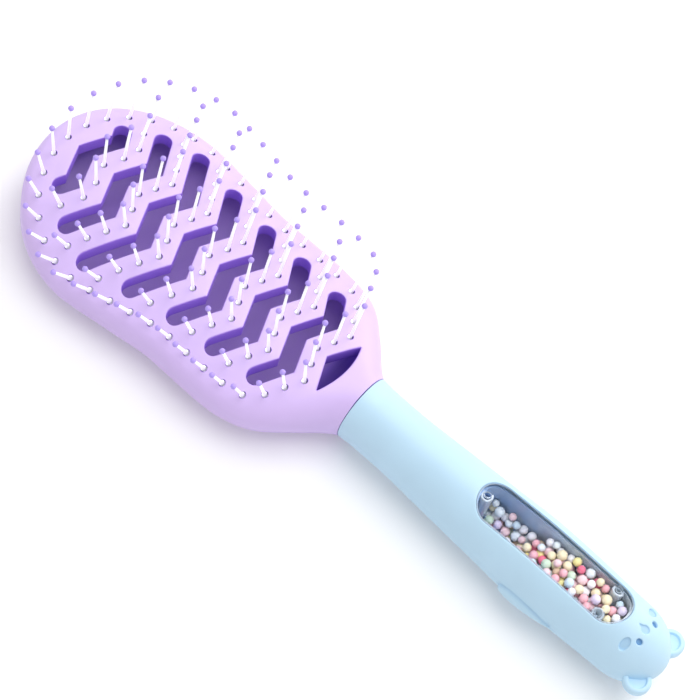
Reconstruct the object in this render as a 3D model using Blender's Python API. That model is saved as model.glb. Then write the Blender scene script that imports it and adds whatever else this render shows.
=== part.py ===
"""Hair grooming brush: a vented head with ball-tipped pins on a bead-filled handle.

The brush lies on its back. +Z is the side with the pins, -X is the tip of the head and
+X is the end of the handle. Everything hangs on one empty, brush_axis, which sits on the
handle's centre line at the seam between the head and the handle. Inside the functions a
place on the head is given as its distance from the tip, called "run".
"""
import math

import bmesh
import bpy
from mathutils import Vector

# Overall sizes, in metres
HEAD_LENGTH = 0.123
HANDLE_LENGTH = 0.114
HEAD_WIDTH = 0.0686
REST_DEPTH = 0.0136
SEAM_GAP = 0.0003
OVERRUN = 0.001
TINY = 0.00002
TALL_SHARE = 1.2

# Head outline: a half ellipse at the nose, then a table down to the neck
NOSE_LENGTH = 0.036
NECK_RADIUS = 0.0100
NECK_BLEND = 0.032
NOSE_STEPS = 9
NOSE_START_ANGLE = math.radians(3)
BODY_STEP = 0.0067
OUTLINE_SHARES = (
    (0.0, 1.0), (0.207, 0.901), (0.379, 0.823), (0.529, 0.831), (0.678, 0.798),
    (0.793, 0.671), (0.897, 0.354), (0.96, 0.119), (1.0, 0.0),
)

# Head section: a crowned front, a rounded edge, a straight side and a bellied back
CROWN_HEIGHT = 0.0106
CROWN_RADIUS = 0.055
TIP_FALL = 0.003
EDGE_ROUND = 0.0022
PARTING_DEPTH = 0.004
BELLY_DEPTH = 0.0142
BELLY_POWER = 2.2
TOP_POINTS = 16
BELLY_POINTS = 12
NECK_START_ANGLE = math.radians(8)

# Head walls
SKIN = 0.0021
BACK_WALL = 0.0018
NECK_BULKHEAD = 0.008

# Zigzag slots and the collars round them
SLOT_COUNT = 7
FIRST_SLOT_RUN = 0.013
LAST_SLOT_TO_SEAM = 0.026
SLOT_HALF_WIDTH = 0.00265
SLOT_REACH_SHARES = (0.591, 0.692, 0.803, 0.774, 0.743, 0.716, 0.696)
ZIG_INNER = 0.0098
ZIG_DIP = 0.0042
ZIG_CLIMB = 0.58
COLLAR_WALL = 0.0009
COLLAR_DEPTH = 0.0052
SLOT_END_STEPS = 3
SLOT_END_CUT_SHARE = 0.3

# Opening at the neck, measured from the seam
OPENING_APEX = 0.0152
OPENING_CORNER = 0.0105
OPENING_ARC = 0.0083
OPENING_HALF_WIDTH = 0.0097
OPENING_STEPS = 8
OPENING_END_SHARE = 0.97

# Pins and the strips that carry them
ROW_PIN_COUNTS = (7, 11, 11, 9, 9, 9, 9)
ROW_REACH_SHARES = (0.569, 0.718, 0.783, 0.702, 0.664, 0.66, 0.741)
RIM_PIN_COUNT = 33
RIM_SAMPLES = 60
RIM_TIP_INSET = 0.0057
RIM_BULGE_INSET = 0.0040
RIM_INSET = 0.0051
RIM_START = 0.0255
PIN_LENGTH = 0.016
PIN_RADIUS = 0.00045
TIP_RADIUS = 0.00085
PIN_FAN_RADIUS = 0.062
PIN_SIDES = 4
PIN_TURN_SHARE = 0.3
PIN_HOLE_RADIUS = 0.00095
STRIP_THICKNESS = 0.0016
STRIP_CLEARANCE = 0.0004
RIM_HALF_WIDTH = 0.0013
STRIP_END = 0.0010
STRIP_END_HALF_WIDTH = 0.0009
STRIP_STEP = 0.008

# Tang that joins the head to the handle
TANG_RADIUS = 0.0070
TANG_LENGTH = 0.018
GROOVE_START = 0.009
GROOVE_WIDTH = 0.003
GROOVE_DEPTH = 0.0008

# Handle, whose section is taller than it is wide
HANDLE_RADIUS = 0.0122
HANDLE_WALL = 0.0020
HANDLE_SIDES = 24
HANDLE_END_ROUND = 0.0145
HANDLE_PROFILE_SHARES = (
    (0.0, 0.82), (0.06, 0.795), (0.18, 0.80), (0.34, 0.865), (0.5, 0.93),
    (0.67, 0.995), (0.83, 0.97), (1.0, 0.92),
)
PROFILE_STEPS = 10
CAP_STEPS = 6
BORE_LENGTH = 0.020
EAR_RADIUS = 0.0041
EAR_THICKNESS = 0.0036
EAR_SPREAD = 0.0077
EAR_CUP_RADIUS = 0.0027
EAR_CUP_DEPTH = 0.0008
EAR_SIDES = 20
EAR_EDGE = 0.0008
BODY_TO_EAR_END = 0.0005

# Arms, one on each side of the handle
ARM_START = 0.0632
ARM_LENGTH = 0.020
ARM_DEPTH_BELOW_AXIS = 0.0028
ARM_HALF_WIDTH = 0.0026
ARM_PROUD = 0.0009
ARM_STEPS = 8
ARM_END_SHARE = 0.04

# Face, set back from the handle's end
EYE_TO_END = 0.0102
EYE_ANGLE = math.radians(20)
EYE_RADIUS = 0.0011
CHEEK_TO_END = 0.0129
CHEEK_ANGLE = math.radians(36)
CHEEK_LENGTH = 0.0021
CHEEK_WIDTH = 0.0014
NOSE_TO_END = 0.0114
NOSE_RADIUS = 0.0013
MUZZLE_LENGTH = 0.0026
MUZZLE_WIDTH = 0.0004
FACE_DEPTH = 0.0007
FACE_SIDES = 12

# Window and capsule
WINDOW_START = 0.043
WINDOW_LENGTH = 0.054
WINDOW_HALF_WIDTH = 0.0066
WINDOW_END_STEPS = 6
CAPSULE_WALL = 0.0009
CAPSULE_FLOOR_DEPTH = 0.0050
CAPSULE_FLOOR_WALL = 0.0012
COVER_SUNK = 0.0003
COVER_WALL = 0.0012
FLANGE_PROUD = 0.0010
FLANGE_UNDERSIDE = 0.0060

# Screws and their bosses
BOSS_RADIUS = 0.00185
BOSS_BORE = 0.0011
FRONT_BOSS_INSET = 0.0024
REAR_BOSS_INSET = 0.0070
REAR_BOSS_SPREAD = 0.0046
PILLAR_RADIUS = 0.0030
SCREW_RADIUS = 0.0008
SCREW_HEAD_RADIUS = 0.0016
SCREW_HEAD_HEIGHT = 0.0011
SCREW_HEAD_SUNK = 0.0022
SCREW_ENGAGEMENT = 0.0075
DRIVE_RADIUS = 0.0007
DRIVE_DEPTH = 0.0005
ROUND_SIDES = 16

# Beads: a settled bed, and loose ones above it that run along the capsule
BEAD_RADIUS = 0.0014
BEAD_GRID = 0.0014
BED_LOW = 0.0014
BED_HIGH = 0.0030
BED_RAMP = 0.014
LAYER_START = 0.0168
LAYER_TRAVEL = 0.012
LAYER_LOW = 0.0004
LAYER_HIGH = 0.0074
LAYER_RAMP = 0.015
BEAD_ROW_TURN = math.radians(250)
BEAD_COLUMN_TURN = math.radians(110)


def clear_scene():
    """Remove whatever the scene holds."""
    for item in list(bpy.data.objects):
        bpy.data.objects.remove(item, do_unlink=True)


def flow(table, position):
    """Smooth curve through a table of (place, value) pairs, without overshoot."""
    places = [row[0] for row in table]
    values = [row[1] for row in table]
    slopes = []
    for index in range(len(table)):
        before = max(index - 1, 0)
        after = min(index + 1, len(table) - 1)
        left = values[index] - values[before]
        right = values[after] - values[index]
        flat = left * right <= 0 and before != index and after != index
        rise = 0.0 if flat else values[after] - values[before]
        slopes.append(rise / (places[after] - places[before]))
    position = min(max(position, places[0]), places[-1])
    index = 0
    while index < len(places) - 2 and position > places[index + 1]:
        index += 1
    span = places[index + 1] - places[index]
    part = (position - places[index]) / span
    start_weight = (1 + 2 * part) * (1 - part) ** 2
    end_weight = part ** 2 * (3 - 2 * part)
    start_slope = part * (1 - part) ** 2 * span * slopes[index]
    end_slope = part ** 2 * (part - 1) * span * slopes[index + 1]
    return start_weight * values[index] + end_weight * values[index + 1] + start_slope + end_slope


def ease(part):
    """Ease from 0 to 1."""
    part = min(max(part, 0.0), 1.0)
    return part * part * (3 - 2 * part)


def half_width(run, inset=0.0):
    """Half the head's width at a distance from the tip, moved in by inset."""
    if run < NOSE_LENGTH:
        share = (NOSE_LENGTH - run) / (NOSE_LENGTH - inset)
        return (HEAD_WIDTH / 2 - inset) * math.sqrt(max(1 - share * share, 0.0))
    share = (run - NOSE_LENGTH) / (HEAD_LENGTH - NOSE_LENGTH)
    width_share = flow(OUTLINE_SHARES, share)
    return NECK_RADIUS + (HEAD_WIDTH / 2 - NECK_RADIUS) * width_share - inset


def edge_distance(run, across):
    """How far a point of the head lies inside the outline, seen from above."""
    if run < NOSE_LENGTH:
        along_share = (NOSE_LENGTH - run) / NOSE_LENGTH
        across_share = across / (HEAD_WIDTH / 2)
        inside = 1 - along_share ** 2 - across_share ** 2
        steepness = 2 * math.hypot(along_share / NOSE_LENGTH, across_share / (HEAD_WIDTH / 2))
        return inside / max(steepness, 1.0)
    step = OVERRUN / 2
    slope = (half_width(run + step) - half_width(run - step)) / (2 * step)
    return (half_width(run) - abs(across)) / math.hypot(1, slope)


def neck_share(run):
    """How far the head's section has turned into the round neck, from 0 to 1."""
    return ease((run - HEAD_LENGTH + NECK_BLEND) / NECK_BLEND)


def crown(run, across):
    """Height of the crowned front above the axis, before its edge is rounded."""
    fall = TIP_FALL * max(1 - run / NOSE_LENGTH, 0.0) ** 2
    sag = CROWN_RADIUS - math.sqrt(CROWN_RADIUS ** 2 - across ** 2)
    round_share = min(abs(across) / half_width(run), 1.0) if run > NOSE_LENGTH else 1.0
    round_height = NECK_RADIUS * TALL_SHARE * math.sqrt(1 - round_share ** 2)
    share = neck_share(run)
    return (CROWN_HEIGHT - fall - sag) * (1 - share) + round_height * share


def edge_fall(distance, radius):
    """How much a rounded edge has fallen at a distance inside the outline."""
    share = min(max(1 - distance / radius, 0.0), 1.0)
    return radius * (1 - math.sqrt(1 - share * share))


def head_section(run, wall, skin):
    """One closed ring of (y, z) points round the head, top first and then the belly."""
    width = half_width(run, wall)
    share = neck_share(run)
    round_radius = max(EDGE_ROUND - wall, OVERRUN)
    points = []
    for index in range(TOP_POINTS):
        across = width * math.cos(math.pi * index / (TOP_POINTS - 1))
        fall = edge_fall(edge_distance(run, across) - wall, round_radius) * (1 - share)
        points.append((across, crown(run, across) - skin - fall))
    nose_share = min(run / NOSE_LENGTH, 1.0)
    depth = (BELLY_DEPTH - PARTING_DEPTH) * math.sqrt(nose_share * (2 - nose_share))
    for index in range(BELLY_POINTS):
        angle = math.pi * index / (BELLY_POINTS - 1)
        bulge = math.copysign(abs(math.cos(angle)) ** (2 / BELLY_POWER), math.cos(angle))
        belly = (-width * bulge, wall - PARTING_DEPTH - depth * math.sin(angle) ** (2 / BELLY_POWER))
        turn = NECK_START_ANGLE + (math.pi - 2 * NECK_START_ANGLE) * index / (BELLY_POINTS - 1)
        neck = (-width * math.cos(turn), (wall - NECK_RADIUS * TALL_SHARE) * math.sin(turn))
        across, height = mix(belly, neck, share)
        points.append((across, max(height, wall - REST_DEPTH)))
    return points


def mix(first, second, share):
    """Blend two points."""
    return tuple(a + (b - a) * share for a, b in zip(first, second))


def make_object(name, points, faces):
    """A new object from points and faces, with its faces turned outwards."""
    shape = bmesh.new()
    corners = [shape.verts.new(point) for point in points]
    for face in faces:
        shape.faces.new([corners[index] for index in face])
    bmesh.ops.recalc_face_normals(shape, faces=shape.faces)
    mesh = bpy.data.meshes.new(name)
    shape.to_mesh(mesh)
    shape.free()
    item = bpy.data.objects.new(name, mesh)
    bpy.context.scene.collection.objects.link(item)
    return item


def loft(name, rings):
    """A closed solid through rings with the same number of points."""
    count = len(rings[0])
    points = [point for ring in rings for point in ring]
    faces = [tuple(range(count)), tuple(range(len(points) - count, len(points)))]
    for ring in range(len(rings) - 1):
        for side in range(count):
            start = ring * count + side
            following = ring * count + (side + 1) % count
            faces.append((start, following, following + count, start + count))
    return make_object(name, points, faces)


def join(name, items):
    """Put several separate closed shells into one tool object."""
    shape = bmesh.new()
    for item in items:
        shape.from_mesh(item.data)
        bpy.data.objects.remove(item, do_unlink=True)
    mesh = bpy.data.meshes.new(name)
    shape.to_mesh(mesh)
    shape.free()
    joined = bpy.data.objects.new(name, mesh)
    bpy.context.scene.collection.objects.link(joined)
    return joined


def combine(body, tool, operation):
    """Boolean a tool into a body and store the result as its mesh."""
    modifier = body.modifiers.new(operation.lower(), 'BOOLEAN')
    modifier.operation = operation
    modifier.solver = 'EXACT'
    modifier.object = tool
    bpy.context.view_layer.update()
    evaluated = body.evaluated_get(bpy.context.evaluated_depsgraph_get())
    mesh = bpy.data.meshes.new_from_object(evaluated)
    body.modifiers.clear()
    body.data = mesh
    bpy.data.objects.remove(tool, do_unlink=True)
    return body


def block(name, low, high):
    """A box between two corners."""
    corners = ((low[0], low[1]), (high[0], low[1]), (high[0], high[1]), (low[0], high[1]))
    return loft(name, [[(x, y, height) for x, y in corners] for height in (low[2], high[2])])


def everything_above(height):
    """A box that holds all of the brush above a height."""
    reach = HEAD_LENGTH + HANDLE_LENGTH
    return block('above', (-reach, -reach, height), (reach, reach, reach))


def everything_below(height):
    """A box that holds all of the brush below a height."""
    reach = HEAD_LENGTH + HANDLE_LENGTH
    return block('below', (-reach, -reach, -reach), (reach, reach, height))


def turned(name, profile, sides, centre=(0.0, 0.0), axis='X', tall=1.0):
    """A solid of revolution through (place, radius) pairs along X or Z, stretched upwards by tall."""
    rings = []
    for place, radius in profile:
        ring = []
        for side in range(sides):
            angle = 2 * math.pi * (side + 0.5) / sides
            first = radius * math.sin(angle)
            second = radius * math.cos(angle)
            if axis == 'X':
                ring.append((place, centre[0] + first, centre[1] + second * tall))
            else:
                ring.append((centre[0] + first, centre[1] + second, place))
        rings.append(ring)
    return loft(name, rings)


def head_hull(name, wall, skin, start, end):
    """The head's outer form, or its inner form when a wall and a skin are given."""
    runs = []
    for step in range(NOSE_STEPS):
        angle = math.pi / 2 * step / NOSE_STEPS
        runs.append(start + (NOSE_LENGTH - start) * (1 - math.cos(max(angle, NOSE_START_ANGLE))))
    body_steps = round((end - NOSE_LENGTH) / BODY_STEP)
    for step in range(body_steps + 1):
        runs.append(NOSE_LENGTH + (end - NOSE_LENGTH) * step / body_steps)
    rings = []
    for run in runs:
        place = start - HEAD_LENGTH if run == runs[0] else run - HEAD_LENGTH
        rings.append([(place, y, z) for y, z in head_section(run, wall, skin)])
    return loft(name, rings)


def zigzag(centre_run, across):
    """Run of a zigzag centre line at a place across the head."""
    reach = abs(across)
    if reach < ZIG_INNER:
        return centre_run + ZIG_DIP * reach / ZIG_INNER
    return centre_run + ZIG_DIP - ZIG_CLIMB * (reach - ZIG_INNER)


def slot_pitch():
    """Distance from one slot to the next."""
    return (HEAD_LENGTH - FIRST_SLOT_RUN - LAST_SLOT_TO_SEAM) / (SLOT_COUNT - 1)


def zigzag_line(centre_run, reach, step):
    """Points of a zigzag line, with a corner at each bend and even steps between."""
    bends = [-reach, -ZIG_INNER, 0.0, ZIG_INNER, reach]
    line = []
    for start, end in zip(bends, bends[1:]):
        pieces = max(round((end - start) / step), 1)
        for piece in range(pieces):
            across = start + (end - start) * piece / pieces
            line.append(Vector((zigzag(centre_run, across), across)))
    line.append(Vector((zigzag(centre_run, reach), reach)))
    return line


def side_normals(line):
    """For each point of a line the sideways vector that keeps a band's width at the bends."""
    normals = []
    for index, point in enumerate(line):
        ahead = line[min(index + 1, len(line) - 1)] - point
        behind = point - line[max(index - 1, 0)]
        directions = [vector.normalized() for vector in (behind, ahead) if vector.length > 0]
        sideways = [Vector((-vector.y, vector.x)) for vector in directions]
        middle = sum(sideways, Vector((0, 0))).normalized()
        normals.append(middle / middle.dot(sideways[0]))
    return normals


def round_ends(line, width, steps):
    """Stations (point, half width) of a band whose two ends are rounded."""
    stations = [(point, width) for point in line]
    start_direction = (line[0] - line[1]).normalized()
    end_direction = (line[-1] - line[-2]).normalized()
    before = []
    after = []
    for step in range(1, steps + 1):
        angle = math.pi / 2 * step / (steps + SLOT_END_CUT_SHARE)
        before.insert(0, (line[0] + start_direction * width * math.sin(angle), width * math.cos(angle)))
        after.append((line[-1] + end_direction * width * math.sin(angle), width * math.cos(angle)))
    return before + stations + after


def band(name, stations, top, bottom):
    """A closed band along stations (point, half width), between two height functions."""
    line = [station[0] for station in stations]
    rings = []
    for (point, width), normal in zip(stations, side_normals(line)):
        left = point + normal * width
        right = point - normal * width
        ring = []
        for corner, height in ((left, top), (right, top), (right, bottom), (left, bottom)):
            ring.append((corner.x - HEAD_LENGTH, corner.y, height(corner.x, corner.y)))
        rings.append(ring)
    return loft(name, rings)


def slot_bands(name, margin, top, bottom):
    """The seven zigzag slots as solids, widened by a margin."""
    items = []
    for index, share in enumerate(SLOT_REACH_SHARES):
        centre_run = FIRST_SLOT_RUN + index * slot_pitch()
        reach = share * half_width(centre_run) - SLOT_HALF_WIDTH
        line = zigzag_line(centre_run, reach, HEAD_WIDTH)
        stations = round_ends(line, SLOT_HALF_WIDTH + margin, SLOT_END_STEPS)
        items.append(band(name, stations, top, bottom))
    return join(name, items)


def neck_opening(margin, top, bottom):
    """The pointed opening near the neck as a solid, widened by a margin."""
    corner_run = HEAD_LENGTH - OPENING_CORNER
    apex_run = HEAD_LENGTH - OPENING_APEX
    arc_run = HEAD_LENGTH - OPENING_ARC
    half = OPENING_HALF_WIDTH + margin
    rings = []
    for step in range(OPENING_STEPS + 1):
        share = -1 + 2 * step / OPENING_STEPS
        share = math.copysign(min(abs(share), OPENING_END_SHARE), share)
        across = half * share
        front = apex_run - margin + (corner_run - apex_run) * abs(share)
        back = corner_run + margin + (arc_run - corner_run) * (1 - share * share)
        ring = []
        for run, height in ((front, top), (back, top), (back, bottom), (front, bottom)):
            ring.append((run - HEAD_LENGTH, across, height(run, across)))
        rings.append(ring)
    return loft('neck_opening', rings)


def strip_half_width():
    """Half width of a zigzag pin strip, which fits between the collars of two slots."""
    between = slot_pitch() / 2 * math.cos(math.atan(ZIG_CLIMB))
    return between - SLOT_HALF_WIDTH - COLLAR_WALL - STRIP_CLEARANCE


def pin_places_in_row(index):
    """Places (run, across) of the pins in one zigzag row."""
    centre_run = FIRST_SLOT_RUN + (index + 0.5) * slot_pitch()
    reach = ROW_REACH_SHARES[index] * half_width(centre_run)
    half_count = (ROW_PIN_COUNTS[index] - 1) // 2
    places = []
    for step in range(-half_count, half_count + 1):
        across = reach * step / half_count
        places.append((zigzag(centre_run, across), across))
    return places


def rim_half_width(run):
    """Half width of the line that the rim pins follow, inside the outline."""
    if run < NOSE_LENGTH:
        share = (NOSE_LENGTH - run) / (NOSE_LENGTH - RIM_TIP_INSET)
        return (HEAD_WIDTH / 2 - RIM_BULGE_INSET) * math.sqrt(max(1 - share * share, 0.0))
    step = OVERRUN / 2
    slope = (half_width(run + step) - half_width(run - step)) / (2 * step)
    inset = RIM_BULGE_INSET + (RIM_INSET - RIM_BULGE_INSET) * ease((run - NOSE_LENGTH) / NOSE_LENGTH)
    return half_width(run) - inset * math.hypot(1, slope)


def rim_line():
    """Points along the rim, from the neck round the tip and back."""
    last_run = HEAD_LENGTH - RIM_START
    samples = []
    for step in range(RIM_SAMPLES + 1):
        share = 1 - math.cos(math.pi / 2 * step / RIM_SAMPLES)
        run = RIM_TIP_INSET + (last_run - RIM_TIP_INSET) * share
        samples.append(Vector((run, rim_half_width(run))))
    mirrored = [Vector((point.x, -point.y)) for point in reversed(samples)]
    return mirrored + samples[1:]


def even_points(line, count):
    """Points spread evenly by length along a line."""
    lengths = [0.0]
    for first, second in zip(line, line[1:]):
        lengths.append(lengths[-1] + (second - first).length)
    points = []
    for number in range(count):
        target = lengths[-1] * number / (count - 1)
        index = 0
        while index < len(lengths) - 2 and lengths[index + 1] < target:
            index += 1
        share = (target - lengths[index]) / (lengths[index + 1] - lengths[index])
        points.append(line[index].lerp(line[index + 1], share))
    return points


def pin_direction(across):
    """Pins fan out across the head and stand upright along it."""
    angle = math.asin(max(min(across / PIN_FAN_RADIUS, 1.0), -1.0))
    return Vector((0.0, math.sin(angle), math.cos(angle)))


def along_pin(name, run, across, profile, sides):
    """A solid of revolution along a pin, from (distance from the crown, radius) pairs."""
    foot = Vector((run - HEAD_LENGTH, across, crown(run, across)))
    direction = pin_direction(across)
    first = Vector((1.0, 0.0, 0.0))
    second = direction.cross(first)
    rings = []
    for distance, radius in profile:
        ring = []
        for side in range(sides):
            angle = 2 * math.pi * (side + PIN_TURN_SHARE) / sides
            spoke = first * math.cos(angle) + second * math.sin(angle)
            ring.append(foot + direction * distance + spoke * radius)
        rings.append(ring)
    return loft(name, rings)


def pin_profile():
    """Distance and radius along a pin, from its root in the strip to its ball tip."""
    root = -SKIN - STRIP_CLEARANCE - STRIP_THICKNESS / 2
    return (
        (root, PIN_RADIUS),
        (PIN_LENGTH - TIP_RADIUS, PIN_RADIUS),
        (PIN_LENGTH, TIP_RADIUS),
        (PIN_LENGTH + TIP_RADIUS, TIP_RADIUS / 3),
    )


def strip_top(run, across):
    """Top of a pin strip, just under the skin."""
    return crown(run, across) - SKIN - STRIP_CLEARANCE


def strip_bottom(run, across):
    """Bottom of a pin strip."""
    return strip_top(run, across) - STRIP_THICKNESS


def make_strip(name, stations, places):
    """One pin strip with its pins fused to it."""
    strip = band(name, stations, strip_top, strip_bottom)
    pins = [along_pin('pin', run, across, pin_profile(), PIN_SIDES) for run, across in places]
    return combine(strip, join('pins', pins), 'UNION')


def make_pin_rows():
    """The seven zigzag pin strips between the slots."""
    rows = []
    for index in range(SLOT_COUNT):
        centre_run = FIRST_SLOT_RUN + (index + 0.5) * slot_pitch()
        reach = ROW_REACH_SHARES[index] * half_width(centre_run)
        line = zigzag_line(centre_run, reach - STRIP_END, STRIP_STEP)
        stations = [(point, strip_half_width()) for point in line]
        last = reach + STRIP_END
        end_run = zigzag(centre_run, last)
        stations.insert(0, (Vector((end_run, -last)), STRIP_END_HALF_WIDTH))
        stations.append((Vector((end_run, last)), STRIP_END_HALF_WIDTH))
        rows.append(make_strip(f'pin_row_{index + 1}', stations, pin_places_in_row(index)))
    return rows


def rim_pin_places():
    """Places of the pins round the rim."""
    line = rim_line()
    return [(point.x, point.y) for point in even_points(line, RIM_PIN_COUNT)]


def make_pin_rim():
    """The horseshoe strip that carries the outer row of pins."""
    line = even_points(rim_line(), RIM_PIN_COUNT)
    first = line[0] + (line[0] - line[1]).normalized() * STRIP_END
    last = line[-1] + (line[-1] - line[-2]).normalized() * STRIP_END
    stations = [(point, RIM_HALF_WIDTH) for point in [first] + line + [last]]
    return make_strip('pin_rim', stations, rim_pin_places())


def tang_profile(radius, start, end, clearance=0.0):
    """Tang or bore profile with its snap groove, as (place, radius) pairs."""
    groove_start = GROOVE_START + clearance
    groove_end = GROOVE_START + GROOVE_WIDTH - clearance
    return (
        (start, radius),
        (groove_start, radius),
        (groove_start, radius - GROOVE_DEPTH),
        (groove_end, radius - GROOVE_DEPTH),
        (groove_end, radius),
        (end, radius),
    )


def make_head():
    """Front and back shells of the head."""
    front = head_hull('head_front_shell', 0.0, 0.0, 0.0, HEAD_LENGTH - SEAM_GAP / 2)
    inner = head_hull('inner', BACK_WALL, SKIN, BACK_WALL, HEAD_LENGTH - NECK_BULKHEAD)
    front = combine(front, inner, 'DIFFERENCE')
    tang = turned('tang', tang_profile(TANG_RADIUS, -NECK_BULKHEAD / 2, TANG_LENGTH), HANDLE_SIDES)
    combine(front, tang, 'UNION')
    back = front.copy()
    back.data = front.data.copy()
    back.name = 'head_back_shell'
    bpy.context.scene.collection.objects.link(back)
    combine(front, everything_above(-PARTING_DEPTH + SEAM_GAP / 2), 'INTERSECT')
    combine(back, everything_below(-PARTING_DEPTH - SEAM_GAP / 2), 'INTERSECT')

    def inside_skin(run, across):
        return crown(run, across) - SKIN / 2

    def collar_bottom(run, across):
        return crown(run, across) - COLLAR_DEPTH

    def above_crown(run, across):
        return crown(run, across) + COLLAR_DEPTH

    def below_collar(run, across):
        return crown(run, across) - COLLAR_DEPTH - OVERRUN

    combine(front, slot_bands('collars', COLLAR_WALL, inside_skin, collar_bottom), 'UNION')
    combine(front, slot_bands('slots', 0.0, above_crown, below_collar), 'DIFFERENCE')
    combine(front, neck_opening(0.0, above_crown, below_collar), 'DIFFERENCE')

    hole_profile = ((-SKIN - OVERRUN, PIN_HOLE_RADIUS), (EDGE_ROUND, PIN_HOLE_RADIUS))
    places = rim_pin_places()
    for index in range(SLOT_COUNT):
        places += pin_places_in_row(index)
    holes = [along_pin('hole', run, across, hole_profile, PIN_SIDES) for run, across in places]
    combine(front, join('holes', holes), 'DIFFERENCE')
    return front, back


def handle_radius(place):
    """Outer radius of the handle at a distance from the seam."""
    body = HANDLE_LENGTH - BODY_TO_EAR_END
    cap_start = body - HANDLE_END_ROUND
    radius = HANDLE_RADIUS * flow(HANDLE_PROFILE_SHARES, place / cap_start)
    if place > cap_start:
        share = min((place - cap_start) / HANDLE_END_ROUND, 1.0)
        radius *= math.sqrt(1 - share * share)
    return radius


def handle_profile(start, end, inset):
    """(place, radius) pairs along the handle between two places, moved in by inset."""
    body = HANDLE_LENGTH - BODY_TO_EAR_END
    cap_start = body - HANDLE_END_ROUND
    places = [start + (cap_start - start) * step / PROFILE_STEPS for step in range(PROFILE_STEPS)]
    turns = [math.pi / 2 * step / CAP_STEPS for step in range(CAP_STEPS)]
    places += [cap_start + HANDLE_END_ROUND * math.sin(turn) for turn in turns]
    places.append(body - TINY)
    profile = [(place, handle_radius(place) - inset) for place in places]
    return [(place, radius) for place, radius in profile if place <= end and radius > TINY]


def handle_solid(name, start, end, inset, sides=HANDLE_SIDES):
    """The handle's form between two places, moved in by inset."""
    return turned(name, handle_profile(start, end, inset), sides, tall=TALL_SHARE)


def make_handle():
    """Front and back shells of the handle, with the ears, arms, face and window."""
    body = HANDLE_LENGTH - BODY_TO_EAR_END
    front = handle_solid('handle_front_shell', SEAM_GAP / 2, body, 0.0)
    combine(front, everything_above(-REST_DEPTH), 'INTERSECT')
    for side in (-1, 1):
        centre = (HANDLE_LENGTH - EAR_RADIUS, side * EAR_SPREAD)
        half = EAR_THICKNESS / 2
        inner = EAR_RADIUS - EAR_EDGE
        edge = half - EAR_EDGE
        profile = ((-half, inner), (-edge, EAR_RADIUS), (edge, EAR_RADIUS), (half, inner))
        ear = turned('ear', profile, EAR_SIDES, centre, 'Z')
        combine(front, ear, 'UNION')
        cup_profile = ((half - EAR_CUP_DEPTH, EAR_CUP_RADIUS), (half + OVERRUN, EAR_CUP_RADIUS))
        combine(front, turned('cup', cup_profile, EAR_SIDES, centre, 'Z'), 'DIFFERENCE')
    inner = handle_solid('inner', BORE_LENGTH, body - HANDLE_WALL, HANDLE_WALL)
    combine(front, inner, 'DIFFERENCE')
    bore = tang_profile(TANG_RADIUS + SEAM_GAP, -OVERRUN, BORE_LENGTH + OVERRUN, SEAM_GAP)
    combine(front, turned('bore', bore, HANDLE_SIDES), 'DIFFERENCE')
    back = front.copy()
    back.data = front.data.copy()
    back.name = 'handle_back_shell'
    bpy.context.scene.collection.objects.link(back)
    combine(front, everything_above(SEAM_GAP / 2), 'INTERSECT')
    combine(back, everything_below(-SEAM_GAP / 2), 'INTERSECT')
    combine(front, window_block('window', 0.0, 0.0, HANDLE_RADIUS * 2), 'DIFFERENCE')
    cut_face(front)
    add_arms(back)
    add_pillars(back)
    return front, back


def window_outline(margin):
    """Outline (x, y) of the window, a long slot with round ends, widened by a margin."""
    half = WINDOW_HALF_WIDTH + margin
    near = WINDOW_START + WINDOW_HALF_WIDTH
    far = WINDOW_START + WINDOW_LENGTH - WINDOW_HALF_WIDTH
    points = []
    for centre, turn in ((far, -math.pi / 2), (near, math.pi / 2)):
        for step in range(WINDOW_END_STEPS + 1):
            angle = turn + math.pi * step / WINDOW_END_STEPS
            points.append((centre + half * math.cos(angle), half * math.sin(angle)))
    return points


def window_block(name, margin, low, high):
    """The window's outline as a solid between two heights."""
    outline = window_outline(margin)
    return loft(name, [[(x, y, low) for x, y in outline], [(x, y, high) for x, y in outline]])


def cut_face(front):
    """Sink the eyes, cheeks and nose into the end of the handle."""
    for side in (-1, 1):
        sink_oval(front, EYE_TO_END, side * EYE_ANGLE, EYE_RADIUS, EYE_RADIUS)
        sink_oval(front, CHEEK_TO_END, side * CHEEK_ANGLE, CHEEK_WIDTH, CHEEK_LENGTH)
    sink_oval(front, NOSE_TO_END, 0.0, NOSE_RADIUS, NOSE_RADIUS)
    muzzle = MUZZLE_LENGTH / 2
    sink_oval(front, NOSE_TO_END + NOSE_RADIUS, 0.0, muzzle, MUZZLE_WIDTH)


def sink_oval(front, to_end, angle, along, across):
    """Cut one shallow oval recess square to the handle's surface."""
    place = HANDLE_LENGTH - to_end
    radius = handle_radius(place)
    surface = Vector((place, radius * math.sin(angle), radius * TALL_SHARE * math.cos(angle)))
    sideways = Vector((0.0, math.cos(angle), -TALL_SHARE * math.sin(angle))).normalized()
    outward = Vector((0.0, -sideways.z, sideways.y))
    rings = []
    for height in (-FACE_DEPTH, FACE_DEPTH + OVERRUN):
        ring = []
        for side in range(FACE_SIDES):
            turn = 2 * math.pi * side / FACE_SIDES
            spot = Vector((along * math.cos(turn), 0.0, 0.0)) + sideways * across * math.sin(turn)
            ring.append(surface + spot + outward * height)
        rings.append(ring)
    combine(front, loft('recess', rings), 'DIFFERENCE')


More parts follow.
